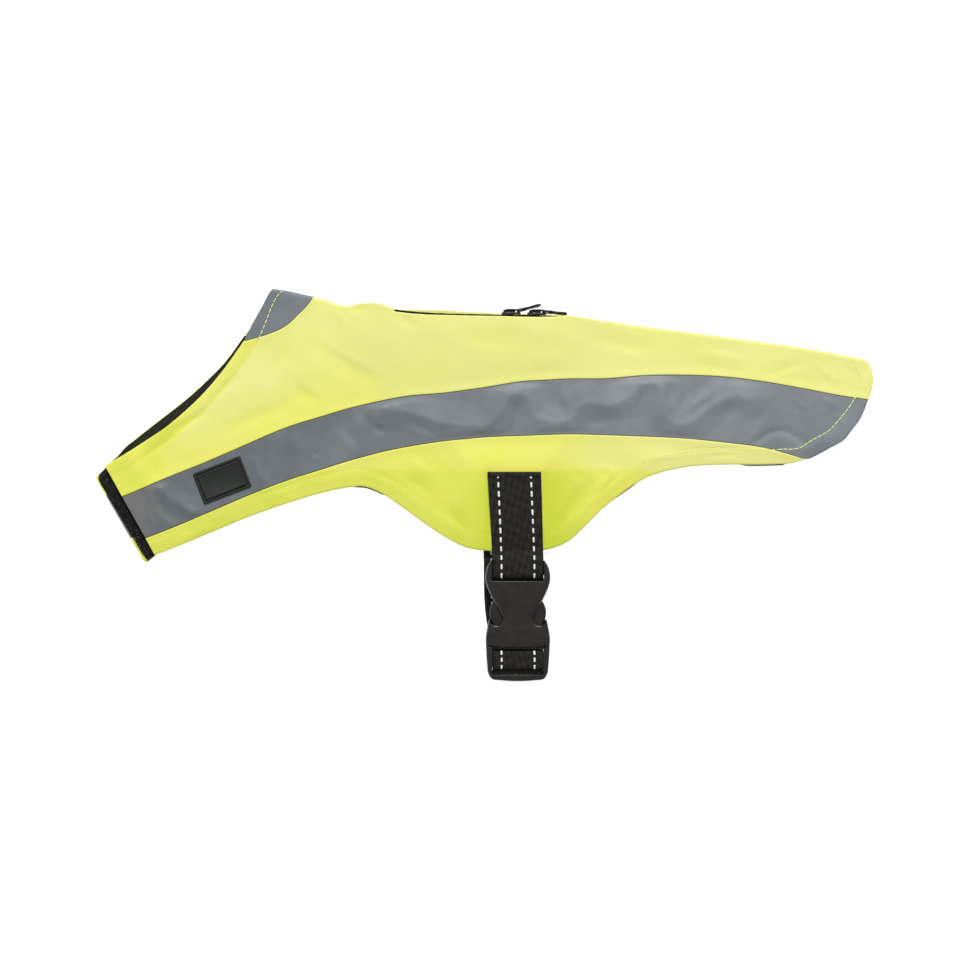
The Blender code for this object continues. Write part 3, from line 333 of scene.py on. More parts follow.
rubberPatch = {
    "x": -131.4, "y": 2.4, "long": 25.3, "wide": 16.4, "turn": 21.0, "corner": 0.7,
    "reach": 14.7, "fade": 8,  # the cloth lies smooth this far around it
}
hemX = np.linspace(chestEndLeft[1][0], 158.0, 90)
hemLine = np.column_stack([hemX, hem(hemX)])
tailLine = np.concatenate([through(tailCorner[::-1])(np.linspace(0, 1, 24)),
                           through(tailEdge[::-1])(np.linspace(0, 1, 10))])
hemAndTail = np.concatenate([hemLine[:-1], tailLine])
neckX = np.linspace(chestEndLeft[0][0], neckEndX, 30)
neckAndNape = np.concatenate([np.column_stack([neckX, neck(neckX)]),
                              through(napeEdge)(np.linspace(0, 1, 10))[1:]])


def seamStep(inside, height):
    # inside is the distance into the upper cloth
    fall = np.exp(-(np.maximum(inside, 0) / vest["seamSpread"]) ** 2)
    return height * ease((inside + 0.15) / 0.3) * fall


def bandShape(away, band, uneven):
    w = band["width"]
    raised = band["rise"] * (1 - ease((away - w + 0.4) / 1.6))
    groove = -band["groove"] * uneven * np.exp(-((away - w + 0.2) / band["spread"]) ** 2)
    return raised + groove - vest["edgeDrop"] * (1 - curl(away, vest["edgeRound"]))


def leftLevel(x, y):
    level = vest["leftHemZ"] + vest["leftFill"] * ease((y - hem(x)) / vest["hemReach"] + 0.15)
    level = level + vest["chestLift"] * (1 - ease((chestInward(x, y) - vest["hookWidth"] - 1) / 10))
    level = level + vest["strapLift"] * strapZone(x, y)
    onset = ease((x - neckEndX) / 14) * (x >= neckEndX)
    risen = zipOpen(x, 36.0)
    crest = vest["foldZ"] + (vest["zipFoldZ"] - vest["foldZ"]) * risen
    edge = vest["edgeZ"] + (vest["zipFoldZ"] - vest["edgeZ"]) * risen
    inward = np.maximum(0.0, leftEdgeY(x) - y)
    top = edge + (crest - edge) * curl(inward, vest["foldRadius"])
    away = ease((inward - vest["foldRadius"]) / vest["foldReach"])
    return level + (top - level) * (1 - away) * onset


def leftSurface(x, y):
    calm = (1 - strapZone(x, y)) * (1 - patchZone(x, y))
    z = leftLevel(x, y) + (creaseHeight(x, y, creases) + foldHeight(x, y) + ripple(x, y)) * calm
    z = z + seamStep(y - stripTop(x), vest["upperSeam"]) + seamStep(stripBottom(x) - y, vest["lowerSeam"])
    nearNape = (x > -122.5) & (x < -84)
    z = z + seamStep(np.where(nearNape, (napeSeam(x) - y) * 0.8, -9.0), vest["lowerSeam"])
    uneven = 0.9 + 0.5 * np.sin(x * 0.17 + 0.6) * np.sin(x * 0.053 + 1.1)
    z = z + bandShape(distanceTo(hemAndTail, x, y), hemBand, uneven)
    return z + bandShape(distanceTo(neckAndNape, x, y), neckBand, uneven)


def rightSurface(x, y):
    level = vest["rightZ"] + vest["strapLift"] * strapZone(x, y)
    inward = np.maximum(0.0, rightEdgeY(x) - y)
    rise = vest["rightRise"] * (1 - zipOpen(x)) * (1 - curl(inward, vest["rightRound"]))
    ridges = creaseHeight(x, y, rightCreases) * (1 - strapZone(x, y))
    bound = vest["chestBound"] * (1 - ease((chestInward(x, y) - 0.2) / 1.5))
    return level + rise * (x >= neckEndX) + ridges + bound


def liningSurface(x, y):
    return vest["liningZ"] + vest["strapLift"] * strapZone(x, y) + 0.5 * ripple(y * 1.3, x * 0.9)


def addNode(tree, kind, settings=None, inputs=None):
    node = tree.nodes.new(kind)
    for key, value in (settings or {}).items():
        setattr(node, key, value)
    for key, value in (inputs or {}).items():
        if isinstance(value, bpy.types.NodeSocket):
            tree.links.new(value, node.inputs[key])
        else:
            node.inputs[key].default_value = value
    return node


def newFinish(name, roughness, specular=0.5, sheen=0.0, metallic=0.0):
    paint = bpy.data.materials.new(name)
    paint.use_nodes = True
    shader = paint.node_tree.nodes["Principled BSDF"]
    shader.inputs["Roughness"].default_value = roughness
    shader.inputs["Specular IOR Level"].default_value = specular
    shader.inputs["Metallic"].default_value = metallic
    if sheen:
        shader.inputs["Sheen Weight"].default_value = sheen
        shader.inputs["Sheen Roughness"].default_value = 0.5
    return paint, paint.node_tree, shader


def noiseOf(tree, size, detail=3.0, stretch=(1, 1, 1), distortion=0.0, turn=0.0):
    # noise with blotches of about size millimetres
    place = addNode(tree, "ShaderNodeTexCoord").outputs["Object"]
    mapped = addNode(tree, "ShaderNodeMapping", None, {
        "Vector": place, "Rotation": (0, 0, turn), "Scale": tuple(1000 * s / size for s in stretch)})
    noise = addNode(tree, "ShaderNodeTexNoise", None, {
        "Vector": mapped.outputs[0], "Scale": 1.0, "Detail": detail, "Distortion": distortion})
    return noise.outputs["Fac"]


def bandsOf(tree, pitch, direction, turn=0.0, wobble=0.0):
    place = addNode(tree, "ShaderNodeTexCoord").outputs["Object"]
    mapped = addNode(tree, "ShaderNodeMapping", None, {
        "Vector": place, "Rotation": (0, 0, turn), "Scale": (1000 / pitch,) * 3})
    wave = addNode(tree, "ShaderNodeTexWave", {"bands_direction": direction}, {
        "Vector": mapped.outputs[0], "Scale": 2 * pi / 20,  # one band to a pitch
        "Distortion": wobble, "Detail": 1.0})
    return wave.outputs["Fac"]


def ramp(tree, value, low, high, darkest=0.0, lightest=1.0):
    return addNode(tree, "ShaderNodeMapRange", None, {
        "Value": value, 1: low, 2: high, 3: darkest, 4: lightest}).outputs[0]


def blendColours(tree, share, a, b, mode="MIX"):
    settings = {"data_type": "RGBA", "blend_type": mode}
    return addNode(tree, "ShaderNodeMix", settings, {0: share, 6: a, 7: b}).outputs[2]


def sumOf(tree, a, b, operation="ADD"):
    return addNode(tree, "ShaderNodeMath", {"operation": operation}, {0: a, 1: b}).outputs[0]


def bumpOf(tree, height, depth, strength=1.0, under=None):
    inputs = {"Height": height, "Distance": depth * mm, "Strength": strength}
    if under:
        inputs["Normal"] = under
    return addNode(tree, "ShaderNodeBump", None, inputs).outputs[0]


def attributeOf(tree, name):
    return addNode(tree, "ShaderNodeAttribute", {"attribute_name": name}).outputs["Fac"]


def finishWith(tree, shader, colour=None, roughness=None, normal=None):
    for name, value in (("Base Color", colour), ("Roughness", roughness), ("Normal", normal)):
        if value is not None:
            tree.links.new(value, shader.inputs[name])


def wovenBump(tree, pitch, depth, turn=0.0):
    warp = bandsOf(tree, pitch, "X", turn, 0.6)
    weft = bandsOf(tree, pitch * 1.15, "Y", turn, 0.6)
    weave = sumOf(tree, warp, weft, "MULTIPLY")
    slub = noiseOf(tree, 6.0, 4.0, (1, 6, 1), 0.0, turn)
    return bumpOf(tree, weave, depth, 0.7, bumpOf(tree, slub, depth * 0.8, 0.35))


def hiVisFinish():
    look = {
        "light": (0.755, 0.745, 0.243, 1), "full": (0.72, 0.725, 0.115, 1), "deep": (0.55, 0.635, 0.042, 1),
    }
    paint, tree, shader = newFinish("hiVisCloth", 0.66, 0.22, 0.06)
    cloud = ramp(tree, noiseOf(tree, 46.0, 2.0), 0.35, 0.65, -0.07, 0.07)
    cloud = sumOf(tree, cloud, ramp(tree, noiseOf(tree, 15.0, 3.0), 0.3, 0.75, -0.05, 0.08))
    cloud = sumOf(tree, cloud, ramp(tree, noiseOf(tree, 0.5, 2.0), 0.3, 0.7, -0.03, 0.03))
    # the shade attribute carries painted shade; the clouds are random tone
    paintedShadeAndTone = sumOf(tree, attributeOf(tree, "shade"), cloud)
    colour = blendColours(tree, ramp(tree, paintedShadeAndTone, 0.0, 0.5), look["light"], look["full"])
    colour = blendColours(tree, ramp(tree, paintedShadeAndTone, 0.5, 1.0), colour, look["deep"])
    rough = ramp(tree, noiseOf(tree, 9.0, 3.0), 0.3, 0.7, 0.6, 0.74)
    finishWith(tree, shader, colour, rough, wovenBump(tree, 0.42, 0.05))
    return paint


def reflectiveFinish():
    look = {
        "rear": (0.196, 0.217, 0.236, 1), "front": (0.108, 0.124, 0.132, 1),
        "chest": (0.146, 0.147, 0.142, 1), "violet": (0.165, 0.17, 0.2, 1),
    }
    paint, tree, shader = newFinish("reflectiveCloth", 0.5, 0.35)
    cloud = ramp(tree, noiseOf(tree, 26.0, 3.0, (1, 1, 1), 0.4), 0.35, 0.65, -0.14, 0.14)
    tint = sumOf(tree, attributeOf(tree, "shade"), cloud)
    colour = blendColours(tree, ramp(tree, tint, 0, 0.7), look["rear"], look["front"])
    colour = blendColours(tree, ramp(tree, tint, 0.7, 1.0), colour, look["chest"])
    patches = ramp(tree, noiseOf(tree, 13.0, 2.0), 0.5, 0.72, 0, 0.35)
    colour = blendColours(tree, patches, colour, look["violet"])
    bead = ramp(tree, noiseOf(tree, 0.22, 2.0), 0.35, 0.7, 0.9, 1.1)
    colour = blendColours(tree, 1.0, colour, bead, "MULTIPLY")
    rough = ramp(tree, noiseOf(tree, 7.0, 3.0), 0.3, 0.7, 0.46, 0.58)
    scuffs = bumpOf(tree, noiseOf(tree, 5.0, 4.0, (1, 3, 1), 0.6, 0.5), 0.08, 0.35)
    finishWith(tree, shader, colour, rough, bumpOf(tree, noiseOf(tree, 0.25, 2.0), 0.03, 0.5, scuffs))
    return paint


def meshFinish():
    look = {
        "yarn": (0.018, 0.019, 0.016, 1), "hole": (0.004, 0.004, 0.004, 1),
        "fuzz": (0.055, 0.057, 0.046, 1), "cell": 1.5,
    }
    paint, tree, shader = newFinish("meshLining", 0.92, 0.15, 0.08)
    place = addNode(tree, "ShaderNodeTexCoord").outputs["Object"]
    holes = addNode(tree, "ShaderNodeTexVoronoi", None, {
        "Vector": place, "Scale": 1000 / look["cell"], "Randomness": 0.25})
    open_ = ramp(tree, holes.outputs["Distance"], 0.12, 0.42)
    colour = blendColours(tree, open_, look["hole"], look["yarn"])
    fuzz = ramp(tree, noiseOf(tree, 2.2, 4.0), 0.5, 0.75, 0, 0.5)
    colour = blendColours(tree, fuzz, colour, look["fuzz"])
    finishWith(tree, shader, colour, None, bumpOf(tree, open_, 0.25, 0.8))
    return paint


def yarnFinish(name, base, streak, roughness, pitch, depth, sheen=0.1, specular=0.25, gap=None):
    paint, tree, shader = newFinish(name, roughness, specular, sheen)
    tone = ramp(tree, noiseOf(tree, 2.5, 4.0), 0.3, 0.7)
    colour = blendColours(tree, tone, base, streak)
    if gap:
        # painted shade: where the relief is low, in the hollows between the yarns, the colour turns to the
        # dark gap colour
        colour = blendColours(tree, ramp(tree, attributeOf(tree, "relief"), 0.25, 0.95), gap, colour)
    grain = bumpOf(tree, noiseOf(tree, pitch, 3.0), depth, 0.6)
    rough = ramp(tree, noiseOf(tree, 4.0, 2.0), 0.3, 0.7, roughness - 0.07, roughness + 0.07)
    finishWith(tree, shader, colour, rough, grain)
    return paint


def plasticFinish(name, base, roughness, grain, specular=0.5, metallic=0.0):
    paint, tree, shader = newFinish(name, roughness, specular, 0.0, metallic)
    worn = ramp(tree, noiseOf(tree, 14.0, 4.0, (1, 1, 1), 0.3), 0.3, 0.72, 0.84, 1.18)
    colour = blendColours(tree, 1.0, base, worn, "MULTIPLY")
    rough = ramp(tree, noiseOf(tree, 6.0, 4.0), 0.3, 0.7, roughness - 0.06, roughness + 0.08)
    finishWith(tree, shader, colour, rough, bumpOf(tree, noiseOf(tree, grain, 3.0), 0.02, 0.4))
    return paint


hiVis = hiVisFinish()
reflective = reflectiveFinish()
meshLining = meshFinish()
# the webbing's last colour is the painted shade in the hollows between its yarns
webbingYarn = yarnFinish("webbingYarn", (0.03, 0.026, 0.0205, 1), (0.05, 0.044, 0.0355, 1),
                         0.78, 0.3, 0.06, 0.05, 0.2, (0.003, 0.003, 0.002, 1))
whiteThread = yarnFinish("whiteThread", (0.78, 0.78, 0.76, 1), (0.66, 0.66, 0.64, 1), 0.7, 0.35, 0.08)
hemThread = yarnFinish("hemThread", (0.68, 0.71, 0.12, 1), (0.64, 0.68, 0.09, 1), 0.65, 0.3, 0.05)
yellowThread = yarnFinish("yellowThread", (0.78, 0.84, 0.36, 1), (0.7, 0.76, 0.22, 1), 0.65, 0.3, 0.05)
tapeCloth = yarnFinish("zipTapeCloth", (0.008, 0.008, 0.008, 1), (0.016, 0.016, 0.016, 1),
                       0.85, 0.35, 0.06, 0.02, 0.12)
coilNylon = yarnFinish("coilNylon", (0.012, 0.012, 0.012, 1), (0.02, 0.02, 0.02, 1), 0.45, 0.5, 0.02, 0.0)
hookNylon = yarnFinish("hookNylon", (0.006, 0.006, 0.006, 1), (0.012, 0.012, 0.012, 1),
                       0.7, 0.3, 0.04, 0.0, 0.12)
lint = yarnFinish("lint", (0.2, 0.2, 0.18, 1), (0.34, 0.34, 0.31, 1), 0.9, 0.2, 0.02)
buckleNylon = plasticFinish("buckleNylon", (0.014, 0.0125, 0.0115, 1), 0.3, 0.35, 0.5)
sliderEnamel = plasticFinish("sliderEnamel", (0.022, 0.022, 0.023, 1), 0.36, 0.3, 0.4, 0.2)
patchRubber = plasticFinish("patchRubber", (0.02, 0.022, 0.02, 1), 0.6, 0.5, 0.22)
print("finishes made")


def meshPiece(name, points, faces, finish, attributes=None):
    mesh = bpy.data.meshes.new(name)
    faces = faces.tolist() if isinstance(faces, np.ndarray) else faces
    mesh.from_pydata((np.asarray(points, float) * mm).tolist(), [], faces)
    for key, values in (attributes or {}).items():
        layer = mesh.attributes.new(key, "FLOAT", "POINT")
        layer.data.foreach_set("value", np.asarray(values, np.float32).ravel())
    if finish:
        mesh.materials.append(finish)
    mesh.shade_smooth()
    obj = bpy.data.objects.new(name, mesh)
    scene.collection.objects.link(obj)
    return obj


def shellFaces(columns, rows):
    # upper and lower quads and the rim of a closed sheet, its grid running along +X and down -Y
    i, j = np.meshgrid(np.arange(columns - 1), np.arange(rows - 1), indexing="ij")
    a = (i * rows + j).ravel()
    b = a + rows
    n = columns * rows
    upper = np.column_stack([a, a + 1, b + 1, b])
    lower = np.column_stack([a, b, b + 1, a + 1]) + n
    rim = [k * rows for k in range(columns)]
    rim += [(columns - 1) * rows + k for k in range(1, rows)]
    rim += [k * rows + rows - 1 for k in range(columns - 2, -1, -1)]
    rim = np.array(rim + list(range(rows - 2, 0, -1)))
    after = np.roll(rim, -1)
    sides = np.column_stack([rim, after, after + n, rim + n])
    return np.concatenate([upper, lower, sides])


def rimDistance(points):
    along = np.linalg.norm(np.diff(points, axis=0), axis=2)
    across = np.linalg.norm(np.diff(points, axis=1), axis=2)
    s = np.concatenate([np.zeros((1, points.shape[1])), np.cumsum(along, axis=0)])
    t = np.concatenate([np.zeros((points.shape[0], 1)), np.cumsum(across, axis=1)], axis=1)
    return np.minimum.reduce([s, s[-1:] - s, t, t[:, -1:] - t])


def clothPiece(name, flat, surface, thickness, finish, attributes=None):
    x, y = flat[..., 0], flat[..., 1]
    step = 0.12
    z = surface(x, y)
    slopeX = (surface(x + step, y) - surface(x - step, y)) / (2 * step)
    slopeY = (surface(x, y + step) - surface(x, y - step)) / (2 * step)
    out = np.stack([-slopeX, -slopeY, np.ones(x.shape)], -1)
    out /= np.linalg.norm(out, axis=2, keepdims=True)
    middle = np.stack([x, y, z], -1)
    half = thickness / 2 * np.maximum(0.18, curl(rimDistance(middle), thickness * 0.55))
    upper = middle + out * half[..., None]
    lower = middle - out * half[..., None]
    points = np.concatenate([upper.reshape(-1, 3), lower.reshape(-1, 3)])
    values = {}
    for key, value in (attributes or {}).items():
        field = value(x, y)
        values[key] = np.concatenate([field.ravel(), field.ravel()])
    return meshPiece(name, points, shellFaces(*x.shape), finish, values)


def panelFlat(edges, along, rowsOf):
    top, bottom, start, end = edges
    a, b = top(along), bottom(along)
    v = rowsOf(np.linalg.norm(a - b, axis=1))
    w = v[..., None]
    s = along[:, None, None]
    flat = a[:, None] * (1 - w) + b[:, None] * w
    flat = flat + (start(v) - (top(0.0) * (1 - w) + bottom(0.0) * w)) * (1 - s) ** 6
    return flat + (end(v) - (top(1.0) * (1 - w) + bottom(1.0) * w)) * s ** 6


edgeSteps = (0.0, 0.1, 0.28, 0.55, 1.0, 1.6)


def rowsWith(count, topSteps=edgeSteps, bottomSteps=edgeSteps):
    def rows(width):
        width = width[:, None]
        fit = np.minimum(1.0, width / (1.6 * (topSteps[-1] + bottomSteps[-1])))
        first = np.array(topSteps)[None] * fit / width
        last = 1 - np.array(bottomSteps[::-1])[None] * fit / width
        between = np.linspace(0, 1, count + 2)[1:-1]
        middle = first[:, -1:] + (last[:, :1] - first[:, -1:]) * between
        return np.concatenate([first, middle, last], axis=1)
    return rows


def columnsOf(x0, x1, step, kinks=()):
    marks = [x0 + d for d in edgeSteps] + [k for k in sorted(kinks) if x0 + 2 < k < x1 - 2]
    marks += [x1 - d for d in edgeSteps[::-1]]
    found = [marks[0]]
    for a, b in zip(marks[:-1], marks[1:]):
        parts = max(1, round((b - a) / step))
        found += [a + (b - a) * k / parts for k in range(1, parts + 1)]
    return (np.array(found) - x0) / (x1 - x0)


def joinedEdge(points, first, last):
    return through([first, *[np.array(p, float) for p in points[1:-1]], last])


def panelEdges(top, bottom, start=None, end=None):
    start = start or straight(top(0.0), bottom(0.0))
    return top, bottom, start, end or straight(top(1.0), bottom(1.0))


# levels and reaches of the painted shade on the yellow cloth
paintedShadeAndTone = {
    "back": 0.03, "deeper": 0.4, "chest": 0.6, "chestX": -140, "footReach": 32, "neckBand": 0.3,
    "neckBandEndX": -112.0, "side": 0.4, "belly": 0.24, "bellyX": (0.0, 30.0), "strapX": (3.0, 29.4),
}
silver = {"least": 0.08, "front": 0.6, "frontX": -175, "reach": 230.0, "chest": 0.36, "nape": 0.4}


def paintedShade(x, y):
    # painted shade: the yellow is drawn deeper and greener beside the strap, along the belly, at the
    # shoulder's foot, at the chest and along the neck
    foot = ease((stripTop(x) + paintedShadeAndTone["footReach"] - y) / paintedShadeAndTone["footReach"]) * ease((-10 - x) / 90)
    chest = paintedShadeAndTone["chest"] * ease((paintedShadeAndTone["chestX"] - x) / 34)
    neckBelt = ease((7.5 - distanceTo(neckAndNape, x, y)) / 2.5) * ease((x + 172) / 14)
    back = paintedShadeAndTone["back"] + np.maximum(paintedShadeAndTone["deeper"] * foot, chest)
    back = back + paintedShadeAndTone["neckBand"] * neckBelt * (x < paintedShadeAndTone["neckBandEndX"])
    left, right = paintedShadeAndTone["bellyX"]
    away = np.maximum(np.maximum(left - x, (x - right) * 1.3), 0)
    beside = np.exp(-away / 20.0) * ease((20 - y) / 22)
    side = paintedShadeAndTone["side"] - 0.26 * ease((x - 34) / 24) - 0.14 * ease((x - 60) / 40) + paintedShadeAndTone["belly"] * beside
    left, right = paintedShadeAndTone["strapX"]
    # painted shadow: a thin deeper line along both edges of the strap, stronger on its left
    line = np.exp(-np.maximum(0, left - x) / 2.2) * 0.32 + np.exp(-np.maximum(0, x - right) / 1.6) * 0.2
    line = line * ((x < left) | (x > right)) * ease((9 - y) / 3)
    shade = np.where(y > stripTop(x), back, side + line)
    # painted shade: the troughs of the creases are drawn deeper
    return np.clip(shade + 0.16 * np.clip(-creaseHeight(x, y, creases), 0, 1), 0, 1)


def stripShade(x, y):
    front = silver["front"] * (1 - ease((x - silver["frontX"]) / silver["reach"]))
    front = front + silver["chest"] * (1 - ease((x + 182) / 26.0))
    return np.clip(silver["least"] + front * np.where(y > 70, silver["nape"], 1), 0, 1)


# the yellow pieces carry this painted shade in their shade attribute
withPaintedShade, silvered = {"shade": paintedShade}, {"shade": stripShade}


def seated(obj, slot, *nodes, body="root"):
    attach(obj, body)
    if nodes:
        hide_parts(*nodes)
    return obj


def leftCloth():
    gap, thick = vest["halfGap"], vest["cloth"]

    def topY(x):
        y = np.where(x < neckEndX, neck(x), napeSeam(x) - gap)
        return np.where(x < napeEndX - 0.005, y, leftEdgeY(x))

    x0, x1 = chestEndLeft[0][0], tailEdge[0][0]
    above, below = (lambda x: stripTop(x) + gap), (lambda x: stripTop(x) - gap)
    top = graph(topY, x0, x1)
    bottom = graph(above, meets(above, chestEndLeft), tailEdge[-1][0])
    along = columnsOf(x0, x1, 1.3, (neckEndX, napeEndX - 0.01, napeEndX, *zipEnds))
    foldSteps = (0.0, 0.1, 0.28, 0.55, 0.9, 1.3, 1.8, 2.4, 3.2)
    edges = panelEdges(top, bottom, end=joinedEdge(tailEdge, top(1.0), bottom(1.0)))
    flat = panelFlat(edges, along, rowsWith(30, foldSteps))
    back = clothPiece("backLeft", flat, leftSurface, thick, hiVis, withPaintedShade)
    seated(back, "hi_vis_cloth", "back_left")

    high = lambda x: stripBottom(x) + gap
    top = graph(below, meets(below, chestEndLeft), tailCorner[0][0])
    bottom = graph(high, meets(high, chestEndLeft), tailCorner[-1][0])
    edges = panelEdges(top, bottom, end=joinedEdge(tailCorner, top(1.0), bottom(1.0)))
    flat = panelFlat(edges, columnsOf(x0, tailCorner[0][0], 1.1), rowsWith(24))
    strip = clothPiece("stripLeft", flat, leftSurface, thick, reflective, silvered)
    seated(strip, "reflective_cloth", "strip_left")

    low = lambda x: stripBottom(x) - gap
    x0 = chestEndLeft[1][0]
    top = graph(low, meets(low, chestEndLeft), sideTipX)
    edges = panelEdges(top, graph(hem, x0, sideTipX + 1.0))
    flat = panelFlat(edges, columnsOf(x0, sideTipX, 1.2), rowsWith(26))
    side = clothPiece("sideLeft", flat, leftSurface, thick, hiVis, withPaintedShade)
    seated(side, "hi_vis_cloth", "side_left")

    flat = napeFlat(napeSeam, leftEdgeY, napeEdge)
    nape = clothPiece("napeLeft", flat, leftSurface, thick, reflective, silvered)
    seated(nape, "reflective_cloth", "nape_left")
    return back, strip, side, nape


def napeFlat(seam, edgeY, front, rearX=-86.1):
    tip, corner = front[-1], front[0]
    upper = graph(edgeY, tip[0], rearX)
    lower = graph(lambda x: seam(x) + vest["halfGap"], corner[0], rearX)

    def above(s):
        s = np.asarray(s, float)
        return np.where((s > 0)[..., None], upper(s), np.array(tip, float))

    edges = panelEdges(above, lower, joinedEdge(front[::-1], np.array(tip, float), lower(0.0)))
    return panelFlat(edges, columnsOf(0.0, 31.0, 1.0), rowsWith(16))


def rightCloth():
    gap, thick, inset = vest["halfGap"], vest["cloth"], vest["rightInset"]

    def topY(x):
        y = np.where(x < neckEndX, neck(x) + gape(x), rightNapeSeam(x) - gap)
        return np.where(x < napeEndX - 0.005, y, rightEdgeY(x))

    def seamHigh(x):
        return stripTop(x) + seamLead(x)

    def seamLow(x):
        return stripBottom(x) + seamLead(x)

    tail = [(x - inset, y) for x, y in tailEdge]
    corner = [(x - inset, y + inset) for x, y in tailCorner]
    above, below = (lambda x: seamHigh(x) + gap), (lambda x: seamHigh(x) - gap)
    x0 = rightNeckStart[0]
    top = graph(topY, x0, tail[0][0])
    bottom = graph(above, meets(above, chestEndRight), tail[-1][0])
    start = bent((top(0.0), chestEndRight[0], bottom(0.0)), (0, 0.28, 1))
    edges = panelEdges(top, bottom, start, joinedEdge(tail, top(1.0), bottom(1.0)))
    along = columnsOf(x0, tail[0][0], 2.2, (neckEndX, napeEndX - 0.01, napeEndX, *zipEnds))
    flat = panelFlat(edges, along, rowsWith(18))
    back = clothPiece("backRight", flat, rightSurface, thick, hiVis, withPaintedShade)
    seated(back, "hi_vis_cloth", "back_right")

    high, low = (lambda x: seamLow(x) + gap), (lambda x: seamLow(x) - gap)
    front = meets(below, chestEndRight)
    top = graph(below, front, tail[-1][0])
    bottom = graph(high, meets(high, chestEndRight), corner[-1][0])
    edges = panelEdges(top, bottom, end=joinedEdge(corner, top(1.0), bottom(1.0)))
    flat = panelFlat(edges, columnsOf(front, tail[-1][0], 2.2), rowsWith(12))
    strip = clothPiece("stripRight", flat, rightSurface, thick, reflective, silvered)
    seated(strip, "reflective_cloth", "strip_right")

    tip = sideTipX - 1.0
    top = graph(low, meets(low, chestEndRight), tip)
    bottom = alongHem(rightHemStart, lambda x: hem(x) + inset, tip + 0.6)
    start = bent((top(0.0), chestEndRight[1], bottom(0.0)), (0, 0.75, 1))
    flat = panelFlat(panelEdges(top, bottom, start), columnsOf(rightHemStart[0], tip, 2.2), rowsWith(14))
    side = clothPiece("sideRight", flat, rightSurface, thick, hiVis, withPaintedShade)
    seated(side, "hi_vis_cloth", "side_right")

    front = [(x + 0.3, y) for x, y in napeEdge]
    front[0] = (neckEndX + 0.4, float(rightNapeSeam(neckEndX)))
    del front[1]
    nape = clothPiece("napeRight", napeFlat(rightNapeSeam, rightEdgeY, front), rightSurface, thick,
                      reflective, silvered)
    seated(nape, "reflective_cloth", "nape_right")
    return back, strip, side, nape


def alongHem(corner, yOf, x1):
    def at(s):
        x = corner[0] + (x1 - corner[0]) * np.asarray(s, float)
        drop = np.clip((hemRear - x) / (hemRear - corner[0]), 0, None)
        return np.stack([x, yOf(x) + (corner[1] - yOf(corner[0])) * drop], -1)
    return at


def lining():
    look = {
        "neckInset": 0.5, "spineInset": 7.0, "hemInset": 0.4, "thickness": 0.8,
        "peek": 0.7, "peeks": ((-69.0, -47.0), (62.0, 79.0), (125.0, 154.0)),
    }
    napeLine = curveOf(((-120.5, 75.0), (-113, 83.0), (-106.5, 91.4)))
    tailOf = curveOf(tailCorner[::-1])
    neckTop = float(neck(neckEndX) + gape(neckEndX)) - look["neckInset"]

    def upper(x):
        along = ease((x - neckEndX) / 12)
        edge = np.where(x < napeEdge[-1][0], napeLine(x), spine(x) - look["spineInset"])
        return np.where(x < neckEndX, neck(x) + gape(x) - look["neckInset"],
                        neckTop * (1 - along) + edge * along)

    def lower(x):
        most = vest["rightInset"] + look["hemInset"]
        inset = most
        for a, b in look["peeks"]:  # where the lining shows past the near hem
            inset = inset - (most + look["peek"]) * ease((x - a) / 5) * ease((b - x) / 5)
        return np.where(x < tailCorner[-1][0], hem(x), tailOf(x)) + inset

    x0, x1 = rightNeckStart[0] + 0.6, tailEdge[0][0] - 2
    top = graph(upper, x0, x1)
    bottom = alongHem((rightHemStart[0] + 0.4, rightHemStart[1] + 0.5), lower, tailCorner[1][0] - 0.8)
    a, b = (tuple(np.array(p) + (1.5, 0.87)) for p in chestEndRight)
    start = bent((top(0.0), a, b, bottom(0.0)), (0, 0.22, 0.83, 1))
    end = through([top(1.0), (191.8, 55), bottom(1.0)])
    edges = panelEdges(top, bottom, start, end)
    flat = panelFlat(edges, columnsOf(x0, x1, 2.4, (neckEndX,)), rowsWith(34))
    piece = clothPiece("liningRight", flat, liningSurface, look["thickness"], meshLining)
    return seated(piece, "mesh_lining", "lining_right")


backLeft, stripLeft, sideLeft, napeLeft = leftCloth()
print("left side cut and laid")
backRight, stripRight, sideRight, napeRight = rightCloth()
liningRight = lining()
print("right side and lining laid")


def growTree(name, sockets):
    tree = bpy.data.node_groups.new(name, "GeometryNodeTree")
    face = tree.interface
    face.new_socket(name="Path", in_out="INPUT", socket_type="NodeSocketGeometry")
    for label, kind, value in sockets:
        socket = face.new_socket(name=label, in_out="INPUT", socket_type="NodeSocket" + kind)
        if value is not None:
            socket.default_value = value
    face.new_socket(name="Pieces", in_out="OUTPUT", socket_type="NodeSocketGeometry")
    return tree, tree.nodes.new("NodeGroupInput").outputs


def closeTree(tree, instances, finish):
    real = addNode(tree, "GeometryNodeRealizeInstances", None, {0: instances})
    smooth = addNode(tree, "GeometryNodeSetShadeSmooth", None, {0: real.outputs[0]})
    painted = addNode(tree, "GeometryNodeSetMaterial", None, {0: smooth.outputs[0], "Material": finish})
    tree.links.new(painted.outputs[0], tree.nodes.new("NodeGroupOutput").inputs[0])


